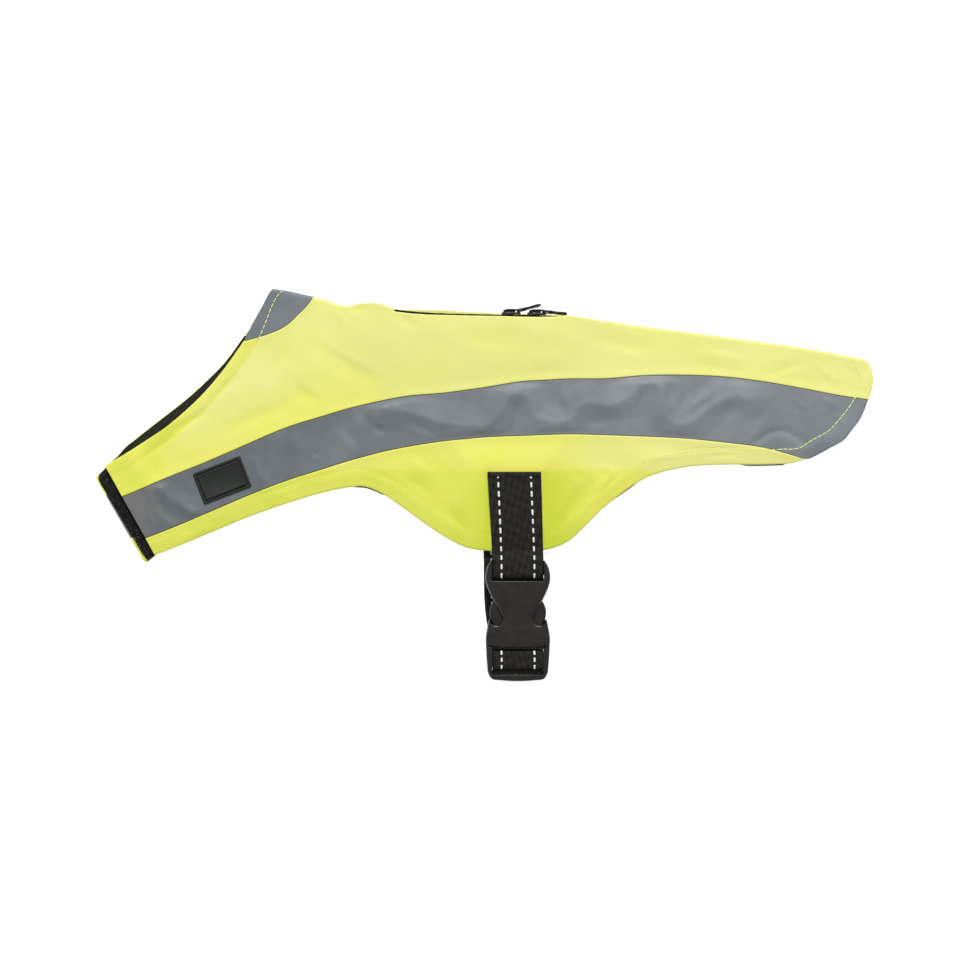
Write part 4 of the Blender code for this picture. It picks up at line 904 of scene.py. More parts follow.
def beadTree():
    # rounded beads along a path: thread stitches and the turns of a zip's coil
    tree, given = growTree("beadsAlongPath", (
        ("Pitch", "Float", 0.004), ("Length", "Float", 0.003), ("Width", "Float", 0.001),
        ("Height", "Float", 0.0007), ("Unevenness", "Float", 0.1), ("Seed", "Int", 1),
        ("Finish", "Material", None)))
    line = addNode(tree, "GeometryNodeMeshToCurve", None, {0: given["Path"]})
    spaced = addNode(tree, "GeometryNodeResampleCurve", {"mode": "LENGTH"}, {
        "Curve": line.outputs[0], "Length": given["Pitch"]})
    ball = addNode(tree, "GeometryNodeMeshUVSphere", None, {"Segments": 10, "Rings": 6, "Radius": 0.5})
    size = addNode(tree, "ShaderNodeCombineXYZ", None, {
        0: given["Width"], 1: given["Width"], 2: given["Height"]})
    sized = addNode(tree, "GeometryNodeTransform", None, {0: ball.outputs[0], "Scale": size.outputs[0]})
    place = addNode(tree, "GeometryNodeInputPosition")
    split = addNode(tree, "ShaderNodeSeparateXYZ", None, {0: place.outputs[0]})
    side = sumOf(tree, split.outputs[0], 0.0, "SIGN")
    half = sumOf(tree, sumOf(tree, given["Length"], given["Width"], "SUBTRACT"), 0.5, "MULTIPLY")
    push = sumOf(tree, side, half, "MULTIPLY")
    offset = addNode(tree, "ShaderNodeCombineXYZ", None, {0: push})
    bead = addNode(tree, "GeometryNodeSetPosition", None, {
        0: sized.outputs[0], "Offset": offset.outputs[0]})
    outward, heading = (addNode(tree, "GeometryNodeInputNamedAttribute", {"data_type": "FLOAT_VECTOR"}, {
        "Name": name}).outputs[0] for name in ("outward", "heading"))
    turned = addNode(tree, "FunctionNodeAxesToRotation", {"primary_axis": "Z", "secondary_axis": "X"}, {
        0: outward, 1: heading})
    chance = addNode(tree, "FunctionNodeRandomValue", {"data_type": "FLOAT"}, {
        2: sumOf(tree, 1.0, given["Unevenness"], "SUBTRACT"), 3: 1.0, "Seed": given["Seed"]})
    placed = addNode(tree, "GeometryNodeInstanceOnPoints", None, {
        "Points": spaced.outputs[0], "Instance": bead.outputs[0], "Rotation": turned.outputs[0],
        "Scale": chance.outputs[1]})
    closeTree(tree, placed.outputs[0], given["Finish"])
    return tree


def hookTree():
    # bent wires on loose points: the hooks of the tape and the lint caught in them
    tree, given = growTree("hooksOnPoints", (
        ("Radius", "Float", 0.0004), ("Wire", "Float", 0.0001), ("Sweep", "Float", 4.0),
        ("Lean", "Float", 0.3), ("Smallest", "Float", 0.8), ("Seed", "Int", 4),
        ("Finish", "Material", None)))
    points = addNode(tree, "GeometryNodeMeshToPoints", None, {0: given["Path"]})
    arc = addNode(tree, "GeometryNodeCurveArc", {"mode": "RADIUS"}, {
        "Resolution": 7, "Radius": given["Radius"], "Start Angle": -0.4, "Sweep Angle": given["Sweep"]})
    ring = addNode(tree, "GeometryNodeCurvePrimitiveCircle", None, {
        "Resolution": 4, "Radius": given["Wire"]})
    wire = addNode(tree, "GeometryNodeCurveToMesh", None, {
        0: arc.outputs[0], 1: ring.outputs[0], "Fill Caps": True})
    upright = addNode(tree, "GeometryNodeTransform", None, {
        0: wire.outputs[0], "Rotation": (pi / 2, 0, 0)})
    lean = sumOf(tree, given["Lean"], -1.0, "MULTIPLY")
    low = addNode(tree, "ShaderNodeCombineXYZ", None, {0: lean, 1: lean, 2: 0.0})
    high = addNode(tree, "ShaderNodeCombineXYZ", None, {0: given["Lean"], 1: given["Lean"], 2: 2 * pi})
    turn = addNode(tree, "FunctionNodeRandomValue", {"data_type": "FLOAT_VECTOR"}, {
        0: low.outputs[0], 1: high.outputs[0], "Seed": given["Seed"]})
    size = addNode(tree, "FunctionNodeRandomValue", {"data_type": "FLOAT"}, {
        2: given["Smallest"], 3: 1.0, "Seed": given["Seed"]})
    placed = addNode(tree, "GeometryNodeInstanceOnPoints", None, {
        "Points": points.outputs[0], "Instance": upright.outputs[0], "Rotation": turn.outputs[0],
        "Scale": size.outputs[1]})
    closeTree(tree, placed.outputs[0], given["Finish"])
    return tree


def grow(name, tree, lines, values):
    # lines: lists of (points, outward, heading) in millimetres; loose points have no heading
    points, edges, outward, heading = [], [], [], []
    for line, out, way in lines:
        line = np.asarray(line, float)
        first = len(points)
        points += (line * mm).tolist()
        if way is not None:
            edges += [(first + k, first + k + 1) for k in range(len(line) - 1)]
        outward.append(np.broadcast_to(np.asarray(out, float), line.shape))
        heading.append(np.broadcast_to(np.asarray((1, 0, 0) if way is None else way, float), line.shape))
    mesh = bpy.data.meshes.new(name + "Path")
    mesh.from_pydata(points, edges, [])
    for key, rows in (("outward", outward), ("heading", heading)):
        layer = mesh.attributes.new(key, "FLOAT_VECTOR", "POINT")
        layer.data.foreach_set("vector", np.concatenate(rows).astype(np.float32).ravel())
    carrier = bpy.data.objects.new(name + "Path", mesh)
    scene.collection.objects.link(carrier)
    modifier = carrier.modifiers.new("grow", "NODES")
    modifier.node_group = tree
    for item in tree.interface.items_tree:
        if item.in_out == "INPUT" and item.name in values:
            modifier[item.identifier] = values[item.name]
    bpy.context.view_layer.update()
    made = bpy.data.meshes.new_from_object(carrier.evaluated_get(bpy.context.evaluated_depsgraph_get()))
    bpy.data.objects.remove(carrier)
    bpy.data.meshes.remove(mesh)
    made.name = name
    piece = bpy.data.objects.new(name, made)
    scene.collection.objects.link(piece)
    return piece


beads, hooks = beadTree(), hookTree()


def headingOf(points):
    way = np.gradient(np.asarray(points, float), axis=0)
    return way / np.linalg.norm(way, axis=1, keepdims=True)


def inwardLine(line, inset):
    # a line moved to its left by inset
    way = headingOf(line)
    return np.asarray(line) + np.stack([-way[:, 1], way[:, 0]], -1) * inset


def laidStitches(name, lines, surface, lift, look, finish):
    paths = []
    for line in lines:
        x, y = line[:, 0], line[:, 1]
        points = np.stack([x, y, surface(x, y) + lift], -1)
        paths.append((points, (0, 0, 1), headingOf(points)))
    return grow(name, beads, paths, {**look, "Finish": finish})


def hemStitches():
    look = {"Pitch": 3.1 * mm, "Length": 2.3 * mm, "Width": 0.42 * mm, "Height": 0.3 * mm,
            "Unevenness": 0.12, "Seed": 3}
    x = np.linspace(-160.5, 147.5, 300)
    hemRun = inwardLine(np.column_stack([x, hem(x)]), hemBand["width"] - 0.6)
    keep = np.concatenate([[True], np.diff(hemRun[:, 0]) > 0])
    xNeck = np.linspace(-184.0, -121.8, 120)
    neckRun = inwardLine(np.column_stack([xNeck, neck(xNeck)])[::-1], neckBand["width"] - 0.6)
    tailRun = through(((185.4, 45.2), (187.0, 50.5), (186.4, 56.5), (184.0, 61.5)))(np.linspace(0, 1, 40))
    runs, lift = [hemRun[keep], neckRun, tailRun], vest["cloth"] / 2 - 0.05
    return seated(laidStitches("hemStitches", runs, leftSurface, lift, look, hemThread), "hi_vis_cloth")


def stripStitches():
    look = {"Pitch": 2.65 * mm, "Length": 2.45 * mm, "Width": 0.55 * mm, "Height": 0.45 * mm,
            "Unevenness": 0.1, "Seed": 6}
    tailRun = ((147.5, 17.8), (157.5, 18.6), (163.5, 22.3), (172.5, 27.6), (178, 33.8), (182, 38.8),
               (185.1, 43.8))
    napeRun = ((-112.9, 73.8), (-111.6, 76.7), (-109.8, 80.9), (-108.2, 85.2), (-106.3, 89.9),
               (-103.4, 94.9), (-101.6, 96.8))
    runs = [through(run)(np.linspace(0, 1, 120)) for run in (tailRun, napeRun)]
    piece = laidStitches("stripStitches", runs, leftSurface, vest["cloth"] / 2 + 0.12, look, yellowThread)
    return seated(piece, "hi_vis_cloth")


hemStitches()
stripStitches()
print("hems stitched")


webbing = {
    "thickness": 1.3, "halfWidth": 12.75, "yarn": 1.02, "row": 1.25, "relief": 0.32,
    "stitchRow": 8.2, "samplesAcross": 96, "sampleStep": 0.3, "flare": 0.6, "turnedIn": 0.5,
}
whiteStitch = {"Pitch": 4.2 * mm, "Length": 3.0 * mm, "Width": 1.15 * mm, "Height": 0.62 * mm,
               "Unevenness": 0.14, "Seed": 8}


def arcPoints(middle, radius, start, end, parts=10):
    angles = [radians(start + (end - start) * k / parts) for k in range(parts + 1)]
    return [(middle[0] + radius * cos(a), middle[1] + radius * sin(a)) for a in angles]


def sampled(path, step):
    pts = np.array(path, float)
    pts = pts[np.concatenate([[True], np.hypot(*np.diff(pts, axis=0).T) > 1e-3])]
    at = np.concatenate([[0.0], np.cumsum(np.hypot(*np.diff(pts, axis=0).T))])
    s = np.linspace(0, at[-1], int(at[-1] / step) + 2)
    line = np.stack([np.interp(s, at, pts[:, k]) for k in (0, 1)], -1)
    for _ in range(2):  # takes the corners off the joints between straights and arcs
        line[1:-1] = (line[:-2] + 2 * line[1:-1] + line[2:]) / 4
    return s, line


def strapFrame(path, centreRows):
    s, line = sampled(path, webbing["sampleStep"])
    way = headingOf(line)
    centre = curveOf(sorted(centreRows))(line[:, 0])
    middle = np.stack([centre, line[:, 0], line[:, 1]], -1)
    out = np.stack([np.zeros(len(s)), way[:, 1], -way[:, 0]], -1)
    return s, middle, out


def strapPiece(name, path, centreRows, sewn=False):
    s, middle, out = strapFrame(path, centreRows)
    w = np.linspace(-1, 1, webbing["samplesAcross"])
    u, v = np.meshgrid(s, w, indexing="ij")
    wide = webbing["halfWidth"] + (webbing["flare"] * (1 - ease(u / 42)) if sewn else 0)
    v = v * wide
    yarn = v / webbing["yarn"] + 100
    row = u / webbing["row"] + 0.5 * (np.floor(yarn) % 2)
    across, along = 2 * (yarn % 1) - 1, 2 * (row % 1) - 1
    bump = np.sqrt(np.clip(1 - across ** 2, 0, 1)) * (1 - 0.85 * along ** 2)
    slack = 0.1 * np.sin(u * 0.31 + 0.6) * np.cos(v * 0.16)
    edge = np.minimum(wide - np.abs(v), np.minimum(u, s[-1] - u))
    half = (webbing["thickness"] / 2 - webbing["relief"] * 0.6 + webbing["relief"] * bump) * np.maximum(
        0.25, curl(edge, 0.8))
    frill = 0.07 * np.sin(2 * pi * u / webbing["row"]) * (np.abs(v) > wide - 0.5) * np.sign(v)
    spot = middle[:, None] + np.stack([v + frill, np.zeros(u.shape), np.zeros(u.shape)], -1)
    up = out[:, None]
    turned = webbing["turnedIn"] * (1 - ease((u - 2.0) / 0.6)) if sewn else 0
    raised = spot + up * (half + np.maximum(slack, 0) * 0.4 + turned)[..., None]
    sunk = spot - up * half[..., None]
    points = np.concatenate([raised.reshape(-1, 3), sunk.reshape(-1, 3)])
    faces = shellFaces(len(s), len(w))[:, ::-1]
    # the relief also sets the painted shade in the hollows between the yarns
    relief = bump * (0.75 + 0.25 * np.sin(u * 0.9 + v * 0.7) * np.sin(v * 1.3 - u * 0.4))
    return meshPiece(name, points, faces, webbingYarn, {"relief": np.tile(relief.ravel(), 2)})


def strapStitches(name, path, centreRows, faces, look=whiteStitch):
    # faces: (side, first, last, the two rows) with the run along the path in millimetres
    s, middle, out = strapFrame(path, centreRows)
    lines = []
    for side, first, last, rows in faces:
        run = (s >= first) & (s <= last)
        for row in rows:
            points = middle[run] + (row, 0, 0) + out[run] * side * (webbing["thickness"] / 2 + 0.08)
            lines.append((points, out[run] * side, headingOf(points)))
    return grow(name, beads, lines, {**look, "Finish": whiteThread})


leftStrapX = ((6.4, 14.6), (-31.0, 16.2), (-37.0, 16.4), (-48.0, 16.4))
rightStrapX = ((6.4, 11.0), (-33.0, 12.0), (-66.0, 13.2), (-84.0, 16.4), (-95.0, 16.4))
strapBase = vest["cloth"] / 2 + 0.35 + webbing["thickness"] / 2
leftPath = [(6.4, float(leftLevel(14.6, 6.4)) + strapBase - 0.25)]
for pathY in (5.4, 4, 0, -8, -16, -24, -30, -33):
    leftPath.append((pathY, float(leftLevel(14.6, pathY)) + strapBase + 0.05))
leftPath += [(-36, 7.6), (-38.4, 8.45), *arcPoints((-44.0, 5.9), 2.55, 90, 270, 16)]
leftPath += [(-37.8, 3.35), (-36, 3.35)]
rightPath = [(y, 0.65) for y in (6.4, -16, -33, -50, -66, -84)]
rightPath += arcPoints((-89.9, 2.6), 1.95, 270, 180) + arcPoints((-89.9, 6.9), 1.95, 180, 90)
rightPath += arcPoints((-84.9, 6.9), 1.95, 90, 0) + arcPoints((-81.65, 3.55), 1.3, 180, 270)
rightPath.append((-72.0, 2.25))
strapLeft = seated(strapPiece("strapLeft", leftPath, leftStrapX, True), "webbing", "strap_left")
strapRight = seated(strapPiece("strapRight", rightPath, rightStrapX), "webbing", "strap_right")
evenRows = (-webbing["stitchRow"], webbing["stitchRow"])
leftStitches = seated(strapStitches("strapLeftStitches", leftPath, leftStrapX, (
    (1, 1.6, 52.1, evenRows), (-1, 58.0, 61.0, evenRows))), "webbing")
rightStitches = seated(strapStitches("strapRightStitches", rightPath, rightStrapX, (
    (1, 5.0, 88.0, (-8.9, 8.2)),)), "webbing")


def windowRun():
    # where the right strap's upper face lies in the buckle's window
    s, middle, out = strapFrame(rightPath, rightStrapX)
    upper = (out[:, 2] < -0.4) & (middle[:, 2] > 6)
    seen = s[upper & (middle[:, 1] > -90.7) & (middle[:, 1] < -83.8)]
    return float(seen.min()), float(seen.max())


windowStitches = seated(strapStitches("strapWindowStitches", rightPath, rightStrapX, (
    (-1, *windowRun(), evenRows),), {**whiteStitch, "Pitch": 3.35 * mm, "Length": 2.5 * mm}), "webbing")
print("straps woven and stitched")


def evaluated(obj):
    bpy.context.view_layer.update()
    mesh = bpy.data.meshes.new_from_object(obj.evaluated_get(bpy.context.evaluated_depsgraph_get()))
    old = obj.data
    obj.modifiers.clear()
    obj.data = mesh
    bpy.data.meshes.remove(old)
    return obj


def smoothOutline(half, middleX, parts=4, corners=()):
    # a whole outline from half of one that runs down its right side, smooth between its corners
    rows = [tuple(p) for p in half]
    cuts = [0, *sorted(corners), len(rows) - 1]
    side = []
    for a, b in zip(cuts[:-1], cuts[1:]):
        part = np.array(rows[a:b + 1])
        if b - a > 1:
            part = through(part)(np.linspace(0, 1, (b - a) * parts + 1))
        side += part.tolist() if not side else part.tolist()[1:]
    left = [(middleX - w, y) for w, y in side]
    right = [(middleX + w, y) for w, y in side]
    return left + right[::-1]


def ringFaces(n, rings=2):
    # the two caps and the sides of a body drawn through rings of n points
    faces = [tuple(range(n - 1, -1, -1)), tuple(range((rings - 1) * n, rings * n))]
    for ring in range(rings - 1):
        for k in range(n):
            a, b = ring * n + k, ring * n + (k + 1) % n
            faces.append((a, b, b + n, a + n))
    return faces


def moulding(name, outline, levels, finish, thinAt=()):
    # an outline drawn up through levels of (inset, z), so that its edges are rounded, less so near thinAt
    pts = np.array(outline, float)
    before, after = pts - np.roll(pts, 1, axis=0), np.roll(pts, -1, axis=0) - pts
    before /= np.linalg.norm(before, axis=1, keepdims=True)
    after /= np.linalg.norm(after, axis=1, keepdims=True)
    across = np.stack([-(before + after)[:, 1], (before + after)[:, 0]], -1)
    across /= np.maximum(np.linalg.norm(across, axis=1, keepdims=True), 1e-6)
    for spot in thinAt:
        near = np.exp(-(np.hypot(*(pts - spot).T) / 3.2) ** 2)
        across *= (1 - 0.75 * near)[:, None]
    n = len(pts)
    rings = [np.column_stack([pts + across * inset, np.full(n, z)]) for inset, z in levels]
    return meshPiece(name, np.concatenate(rings), ringFaces(n, len(levels)), finish)


def cuboid(xEnds, yEnds, zEnds):
    corners = [(xEnds[0], yEnds[0]), (xEnds[1], yEnds[0]), (xEnds[1], yEnds[1]), (xEnds[0], yEnds[1])]
    return moulding("block", corners, ((0, zEnds[0]), (0, zEnds[1])), None)


def shaped(body, others, operation, bevel=0.0, segments=2):
    for k, other in enumerate(others):
        step = body.modifiers.new(f"shape{k}", "BOOLEAN")
        step.object = other
        step.operation = operation
    evaluated(body)
    for other in others:
        bpy.data.objects.remove(other)
    if bevel:
        bevelled(body, bevel, segments)
    return body


def bevelled(body, width, segments=2, clamp=False, angle=32):
    work = bmesh.new()
    work.from_mesh(body.data)
    bmesh.ops.remove_doubles(work, verts=work.verts, dist=0.004 * mm)
    bmesh.ops.dissolve_limit(work, angle_limit=radians(1.0), verts=work.verts, edges=work.edges)
    work.to_mesh(body.data)
    work.free()
    soften = body.modifiers.new("soften", "BEVEL")
    soften.width = width * mm
    soften.segments = segments
    soften.limit_method = "ANGLE"
    soften.angle_limit = radians(angle)
    soften.use_clamp_overlap = clamp
    soften.harden_normals = False
    evaluated(body)
    body.data.shade_smooth()
    body.data.set_sharp_from_angle(angle=radians(38))
    return body


buckle = {"x": 16.4, "barLeftY": (-44.9, -37.8), "slotEnd": -47.9, "inside": 13.1}
femaleHalf = (
    (13.4, -37.8), (14.8, -39.8), (15.9, -43.2), (16.2, -47.0), (15.4, -50.6), (13.8, -54.4),
    (12.1, -57.8), (9.9, -61.6), (8.3, -64.8), (7.7, -67.4), (8.9, -69.1), (11.4, -69.8),
    (13.1, -69.1), (14.2, -66.6), (15.3, -71.2), (16.1, -77.0), (16.0, -79.8), (8.0, -81.3),
)
lobeHalf = (
    (9.0, -57.2), (11.6, -57.4), (13.2, -59.6), (14.1, -62.8), (14.0, -65.2), (13.6, -67.0),
    (13.1, -68.4), (12.2, -69.6),
)
frameHalf = (
    (12.6, -80.5), (15.95, -79.87), (15.8, -84.0), (15.1, -93.3), (13.4, -96.5), (8.0, -97.5), (2.5, -97.9),
)


def femaleHalfBuckle():
    x, inside = buckle["x"], buckle["inside"]
    outline = smoothOutline(femaleHalf, x, 3, (13, 16))
    levels = ((0.9, 3.2), (0.3, 3.5), (0, 4.3), (0, 9.1), (0.12, 9.8), (0.45, 10.4), (0.9, 10.8))
    horns = [(x - 14.2, -67.6), (x + 14.2, -67.6)]
    body = moulding("buckleFemale", outline, levels, buckleNylon, horns)
    low, high = 2.0, 12.0
    shelves = []
    for sign in (-1, 1):  # a shelf under each lobe closes the scoop from below
        at = x + sign * 10.2
        shelves.append(cuboid((at - 3.5, at + 3.5), (-71.2, -62.0), (3.4, 4.7)))
    shaped(body, shelves, "UNION")
    slot = (x - inside, x + inside)
    ends = (buckle["slotEnd"], buckle["barLeftY"][1] + 2)
    shaped(body, [
        cuboid(slot, ends, (7.2, high)),
        cuboid(slot, (ends[0] + 0.95, ends[1]), (low, 4.6)),
        cuboid(slot, (ends[0], buckle["barLeftY"][0]), (4.4, high)),
        cuboid((x - 12.4, x + 12.4), (-84, -56.6), (5.0, 9.0)),
    ], "DIFFERENCE", 0.28, 3)
    return seated(body, "buckle_plastic", "buckle_female")


def maleHalfBuckle():
    x, inside = buckle["x"], buckle["inside"] - 0.24
    outline = smoothOutline(frameHalf, x, 4, (1, 3))
    levels = ((0.7, 3.6), (0.2, 3.8), (0, 4.5), (0, 8.0), (0.2, 8.8), (0.7, 9.2))
    body = moulding("buckleMale", outline, levels, buckleNylon)
    shaped(body, [cuboid((x - inside, x + inside), (-94.6, -80), (2.6, 10.2))], "DIFFERENCE")
    parts = [
        cuboid((x - inside - 0.5, x + inside + 0.5), (-90.6, -84.2), (5.0, 7.6)),
        cuboid((x - 12.1, x + 12.1), (-81.9, -78.2), (5.3, 8.7)),
        cuboid((x - 1.6, x + 1.6), (-78.4, -63), (5.3, 8.7)),
        cuboid((x - inside - 1, x + inside + 1), (-81.9, -80.55), (5.3, 8.7)),
        cuboid((x - inside - 0.5, x + inside + 0.5), (-95.2, -92.56), (3.9, 4.9)),
    ]
    for sign in (-1, 1):
        curve = through(lobeHalf)(np.linspace(0, 1, 25)).tolist()
        half = [(x + sign * w, y) for w, y in (*curve, (11.2, -78.3), (6.6, -78.3), (6.6, -60))]
        if sign > 0:
            half.reverse()
        parts.append(moulding("arm", half, ((0.3, 5.3), (0, 5.6), (0, 8.2), (0.5, 8.7)), None))
    shaped(body, parts, "UNION", 0.28, 3)
    return seated(body, "buckle_plastic", "buckle_male")


femaleHalfBuckle()
maleHalfBuckle()
print("buckle moulded")


def patchPiece():
    x, y = rubberPatch["x"], rubberPatch["y"]
    halfX, halfY, corner = rubberPatch["long"] / 2, rubberPatch["wide"] / 2, rubberPatch["corner"]
    base = float(leftLevel(x, y)) + vest["cloth"] / 2 + 0.05
    turn = radians(rubberPatch["turn"])

    def ring(inset, z):
        round_ = max(corner - inset, 0.35)
        points = []
        for sx, sy, first in ((1, 1, 0), (-1, 1, 90), (-1, -1, 180), (1, -1, 270)):
            for k in range(7):
                a = radians(first + 15 * k)
                px = sx * (halfX - inset - round_) + round_ * cos(a)
                py = sy * (halfY - inset - round_) + round_ * sin(a)
                turnedX, turnedY = px * cos(turn) - py * sin(turn), px * sin(turn) + py * cos(turn)
                points.append((x + turnedX, y + turnedY, z))
        return points

    # inset and height of the flange, the groove inside it, the rim and the sunk field
    profile = (
        (0.25, 0.0), (0.0, 0.25), (0.0, 0.6), (0.2, 0.85), (0.9, 0.9), (1.15, 0.75), (1.3, 0.4),
        (1.55, 0.4), (1.7, 0.8), (1.9, 1.35), (2.2, 1.5), (2.6, 1.45), (2.85, 1.2), (3.1, 1.1),
    )
    rings = [ring(inset, base + height) for inset, height in profile]
    piece = meshPiece("patch", np.concatenate(rings), ringFaces(len(rings[0]), len(rings)), patchRubber)
    piece.data.set_sharp_from_angle(angle=radians(50))
    return seated(piece, "rubber_patch", "patch")


patchPiece()


def hookTape():
    look = {"margin": 0.5, "z": 3.3, "spacing": 0.92, "thickness": 0.9, "jitter": 0.16, "lint": 34}
    (ax, ay), (bx, by) = chestEndRight
    a = np.array((ax, ay))
    length = sqrt((bx - ax) ** 2 + (by - ay) ** 2)
    along = np.array((bx - ax, by - ay)) / length
    inward = np.array((-along[1], along[0]))

    def spot(s, d):
        return a + along * np.asarray(s)[..., None] + inward * np.asarray(d)[..., None]

    def wavy(x, y):
        return look["z"] + 0.12 * np.sin(x * 0.21) * np.sin(y * 0.33)

    s = np.linspace(look["margin"], length - look["margin"], 60)
    outer = 0.8 + 1.1 * (s / length) ** 2 + 0.15 * np.sin(s * 0.9) * np.sin(s * 0.23)  # the cut wanders
    outer = outer + 1.4 * (1 - curl(np.minimum(s - s[0], s[-1] - s), 1.6))
    share = np.linspace(0, 1, 24)
    across = outer[:, None] * (1 - share) + vest["hookWidth"] * share
    flat = spot(np.broadcast_to(s[:, None], across.shape), across)
    tape = clothPiece("hookTape", flat[:, ::-1], wavy, look["thickness"], tapeCloth)
    seated(tape, "hook_tape", "hook_tape_right")
    rows = np.arange(look["margin"] + 0.7, length - look["margin"] - 0.5, look["spacing"])
    lines = np.arange(2.4, vest["hookWidth"] - 0.7, look["spacing"])
    grid = spot(*np.meshgrid(rows, lines, indexing="ij")).reshape(-1, 2)
    jitter = np.random.default_rng(5).uniform(-look["jitter"], look["jitter"], grid.shape)
    top = look["z"] + look["thickness"] / 2
    points = np.column_stack([grid + jitter, np.full(len(grid), top + 0.2)])
    nap = grow("hookNap", hooks, [(points, (0, 0, 1), None)], {
        "Radius": 0.36 * mm, "Wire": 0.075 * mm, "Sweep": 4.2, "Lean": 0.5, "Smallest": 0.7, "Seed": 11,
        "Finish": hookNylon})
    seated(nap, "hook_tape")
    random = np.random.default_rng(9)
    fluffS = random.uniform(1.0, length - 1.0, look["lint"])
    fluffD = 1.8 + 4.5 * random.uniform(0, 1, look["lint"]) ** 2
    fluff = np.column_stack([spot(fluffS, fluffD), np.full(look["lint"], top + 0.55)])
    bits = grow("hookLint", hooks, [(fluff, (0, 0, 1), None)], {
        "Radius": 0.55 * mm, "Wire": 0.07 * mm, "Sweep": 2.6, "Lean": 1.2, "Smallest": 0.35, "Seed": 21,
        "Finish": lint})
    seated(bits, "hook_tape")
    return tape


hookTapePiece = hookTape()
print("patch and hook tape fixed")


zipper = {
    "tilt": radians(8), "z": 4.5, "back": 0.2, "sliderLength": 9.6, "halfWidth": 3.0,
    "rears": {"Front": 17.8, "Rear": 30.6}, "pinInset": 1.6, "pinHeight": 2.35, "twist": radians(20),
}
zipOut = np.array((0, cos(zipper["tilt"]), sin(zipper["tilt"])))
zipUp = np.array((0, -sin(zipper["tilt"]), cos(zipper["tilt"])))


def zipPoint(x, out=0.0, up=0.0, at=None):
    x, out, up = (np.asarray(value, float) for value in (x, out, up))
    middle = zipMiddle(x if at is None else at) - zipper["back"]
    base = np.stack(np.broadcast_arrays(x, middle, zipper["z"]), -1)
    return base + out[..., None] * zipOut + up[..., None] * zipUp


def zipTape(side, sign):
    # a folded edge of tape, its section a flat oval
    look = {"upMiddle": 2.66, "upHalf": 0.4, "outHalf": 0.55, "flatness": 0.6, "tuck": 0.25}
    angles = np.linspace(0, 2 * pi, 21)[:-1]
    wide, high = (np.sign(part) * np.abs(part) ** look["flatness"]
                  for part in (np.cos(angles), np.sin(angles)))
    xs = np.linspace(zipEnds[0], zipEnds[1], 140)
    rings = []
    for x in xs:
        end = max(0.15, float(curl(min(x - xs[0], xs[-1] - x), 0.5)))
        shown = float(tapeOut(x)) - (look["tuck"] if sign > 0 else 0)  # how far it stands out
        out = look["outHalf"] * end * wide + shown - look["outHalf"] + 0.04 * sin(x * 0.8)
        up = sign * (look["upMiddle"] + look["upHalf"] * end * high)
        rings.append(zipPoint(np.full(len(angles), x), out, up))
    piece = jointed(f"zipTape{side}", np.concatenate(rings), len(angles), tapeCloth, len(rings))
    return seated(piece, "zip_tape", f"zip_tape_{side.lower()}")


def jointed(name, points, n, finish, rings=2):
    # rings of n points joined into a body whose faces look outwards
    piece = meshPiece(name, points, ringFaces(n, rings), finish)
    work = bmesh.new()
    work.from_mesh(piece.data)
    bmesh.ops.recalc_face_normals(work, faces=work.faces)
    work.to_mesh(piece.data)
    work.free()
    return piece


def zipCoil(name, x0, x1):
    lines = []
    for sign in (1, -1):
        xs = np.linspace(x0 + (0.0 if sign > 0 else 0.5), x1, 60)
        points = zipPoint(xs, -0.7, sign * 0.95)
        way = zipUp * sign + np.array((0.22, 0, 0))
        lines.append((points, zipOut, way))
    return grow(name, beads, lines, {
        "Pitch": 1.0 * mm, "Length": 2.15 * mm, "Width": 0.72 * mm, "Height": 1.5 * mm, "Unevenness": 0.0,
        "Seed": 1, "Finish": coilNylon})


zipTape("Left", 1)
zipTape("Right", -1)
frontRear = zipper["rears"]["Front"] - zipper["sliderLength"] + 2.9
rearFront = zipper["rears"]["Rear"] - zipper["sliderLength"] + 6.5
seated(zipCoil("zipCoilFront", zipEnds[0] + 1.5, frontRear - 0.4), "zip_coil", "zip_coil_front")
seated(zipCoil("zipCoilRear", rearFront + 0.4, zipEnds[1] - 1.5), "zip_coil", "zip_coil_rear")


def slabAcross(name, outline, outEnds, at, finish=None):
    # an outline of (x, up) drawn from one distance out of the zip to another
    pts = np.array(outline, float)
    n = len(pts)
    points = np.concatenate([zipPoint(pts[:, 0], np.full(n, out), pts[:, 1], at) for out in outEnds])
    return jointed(name, points, n, finish)


def slabAlong(name, outline, upHalf, at):
    # an outline of (x, out) drawn across the zip
    points = [zipPoint(x, out, up, at) for up in (-upHalf, upHalf) for x, out in outline]
    return jointed(name, points, len(outline), None)


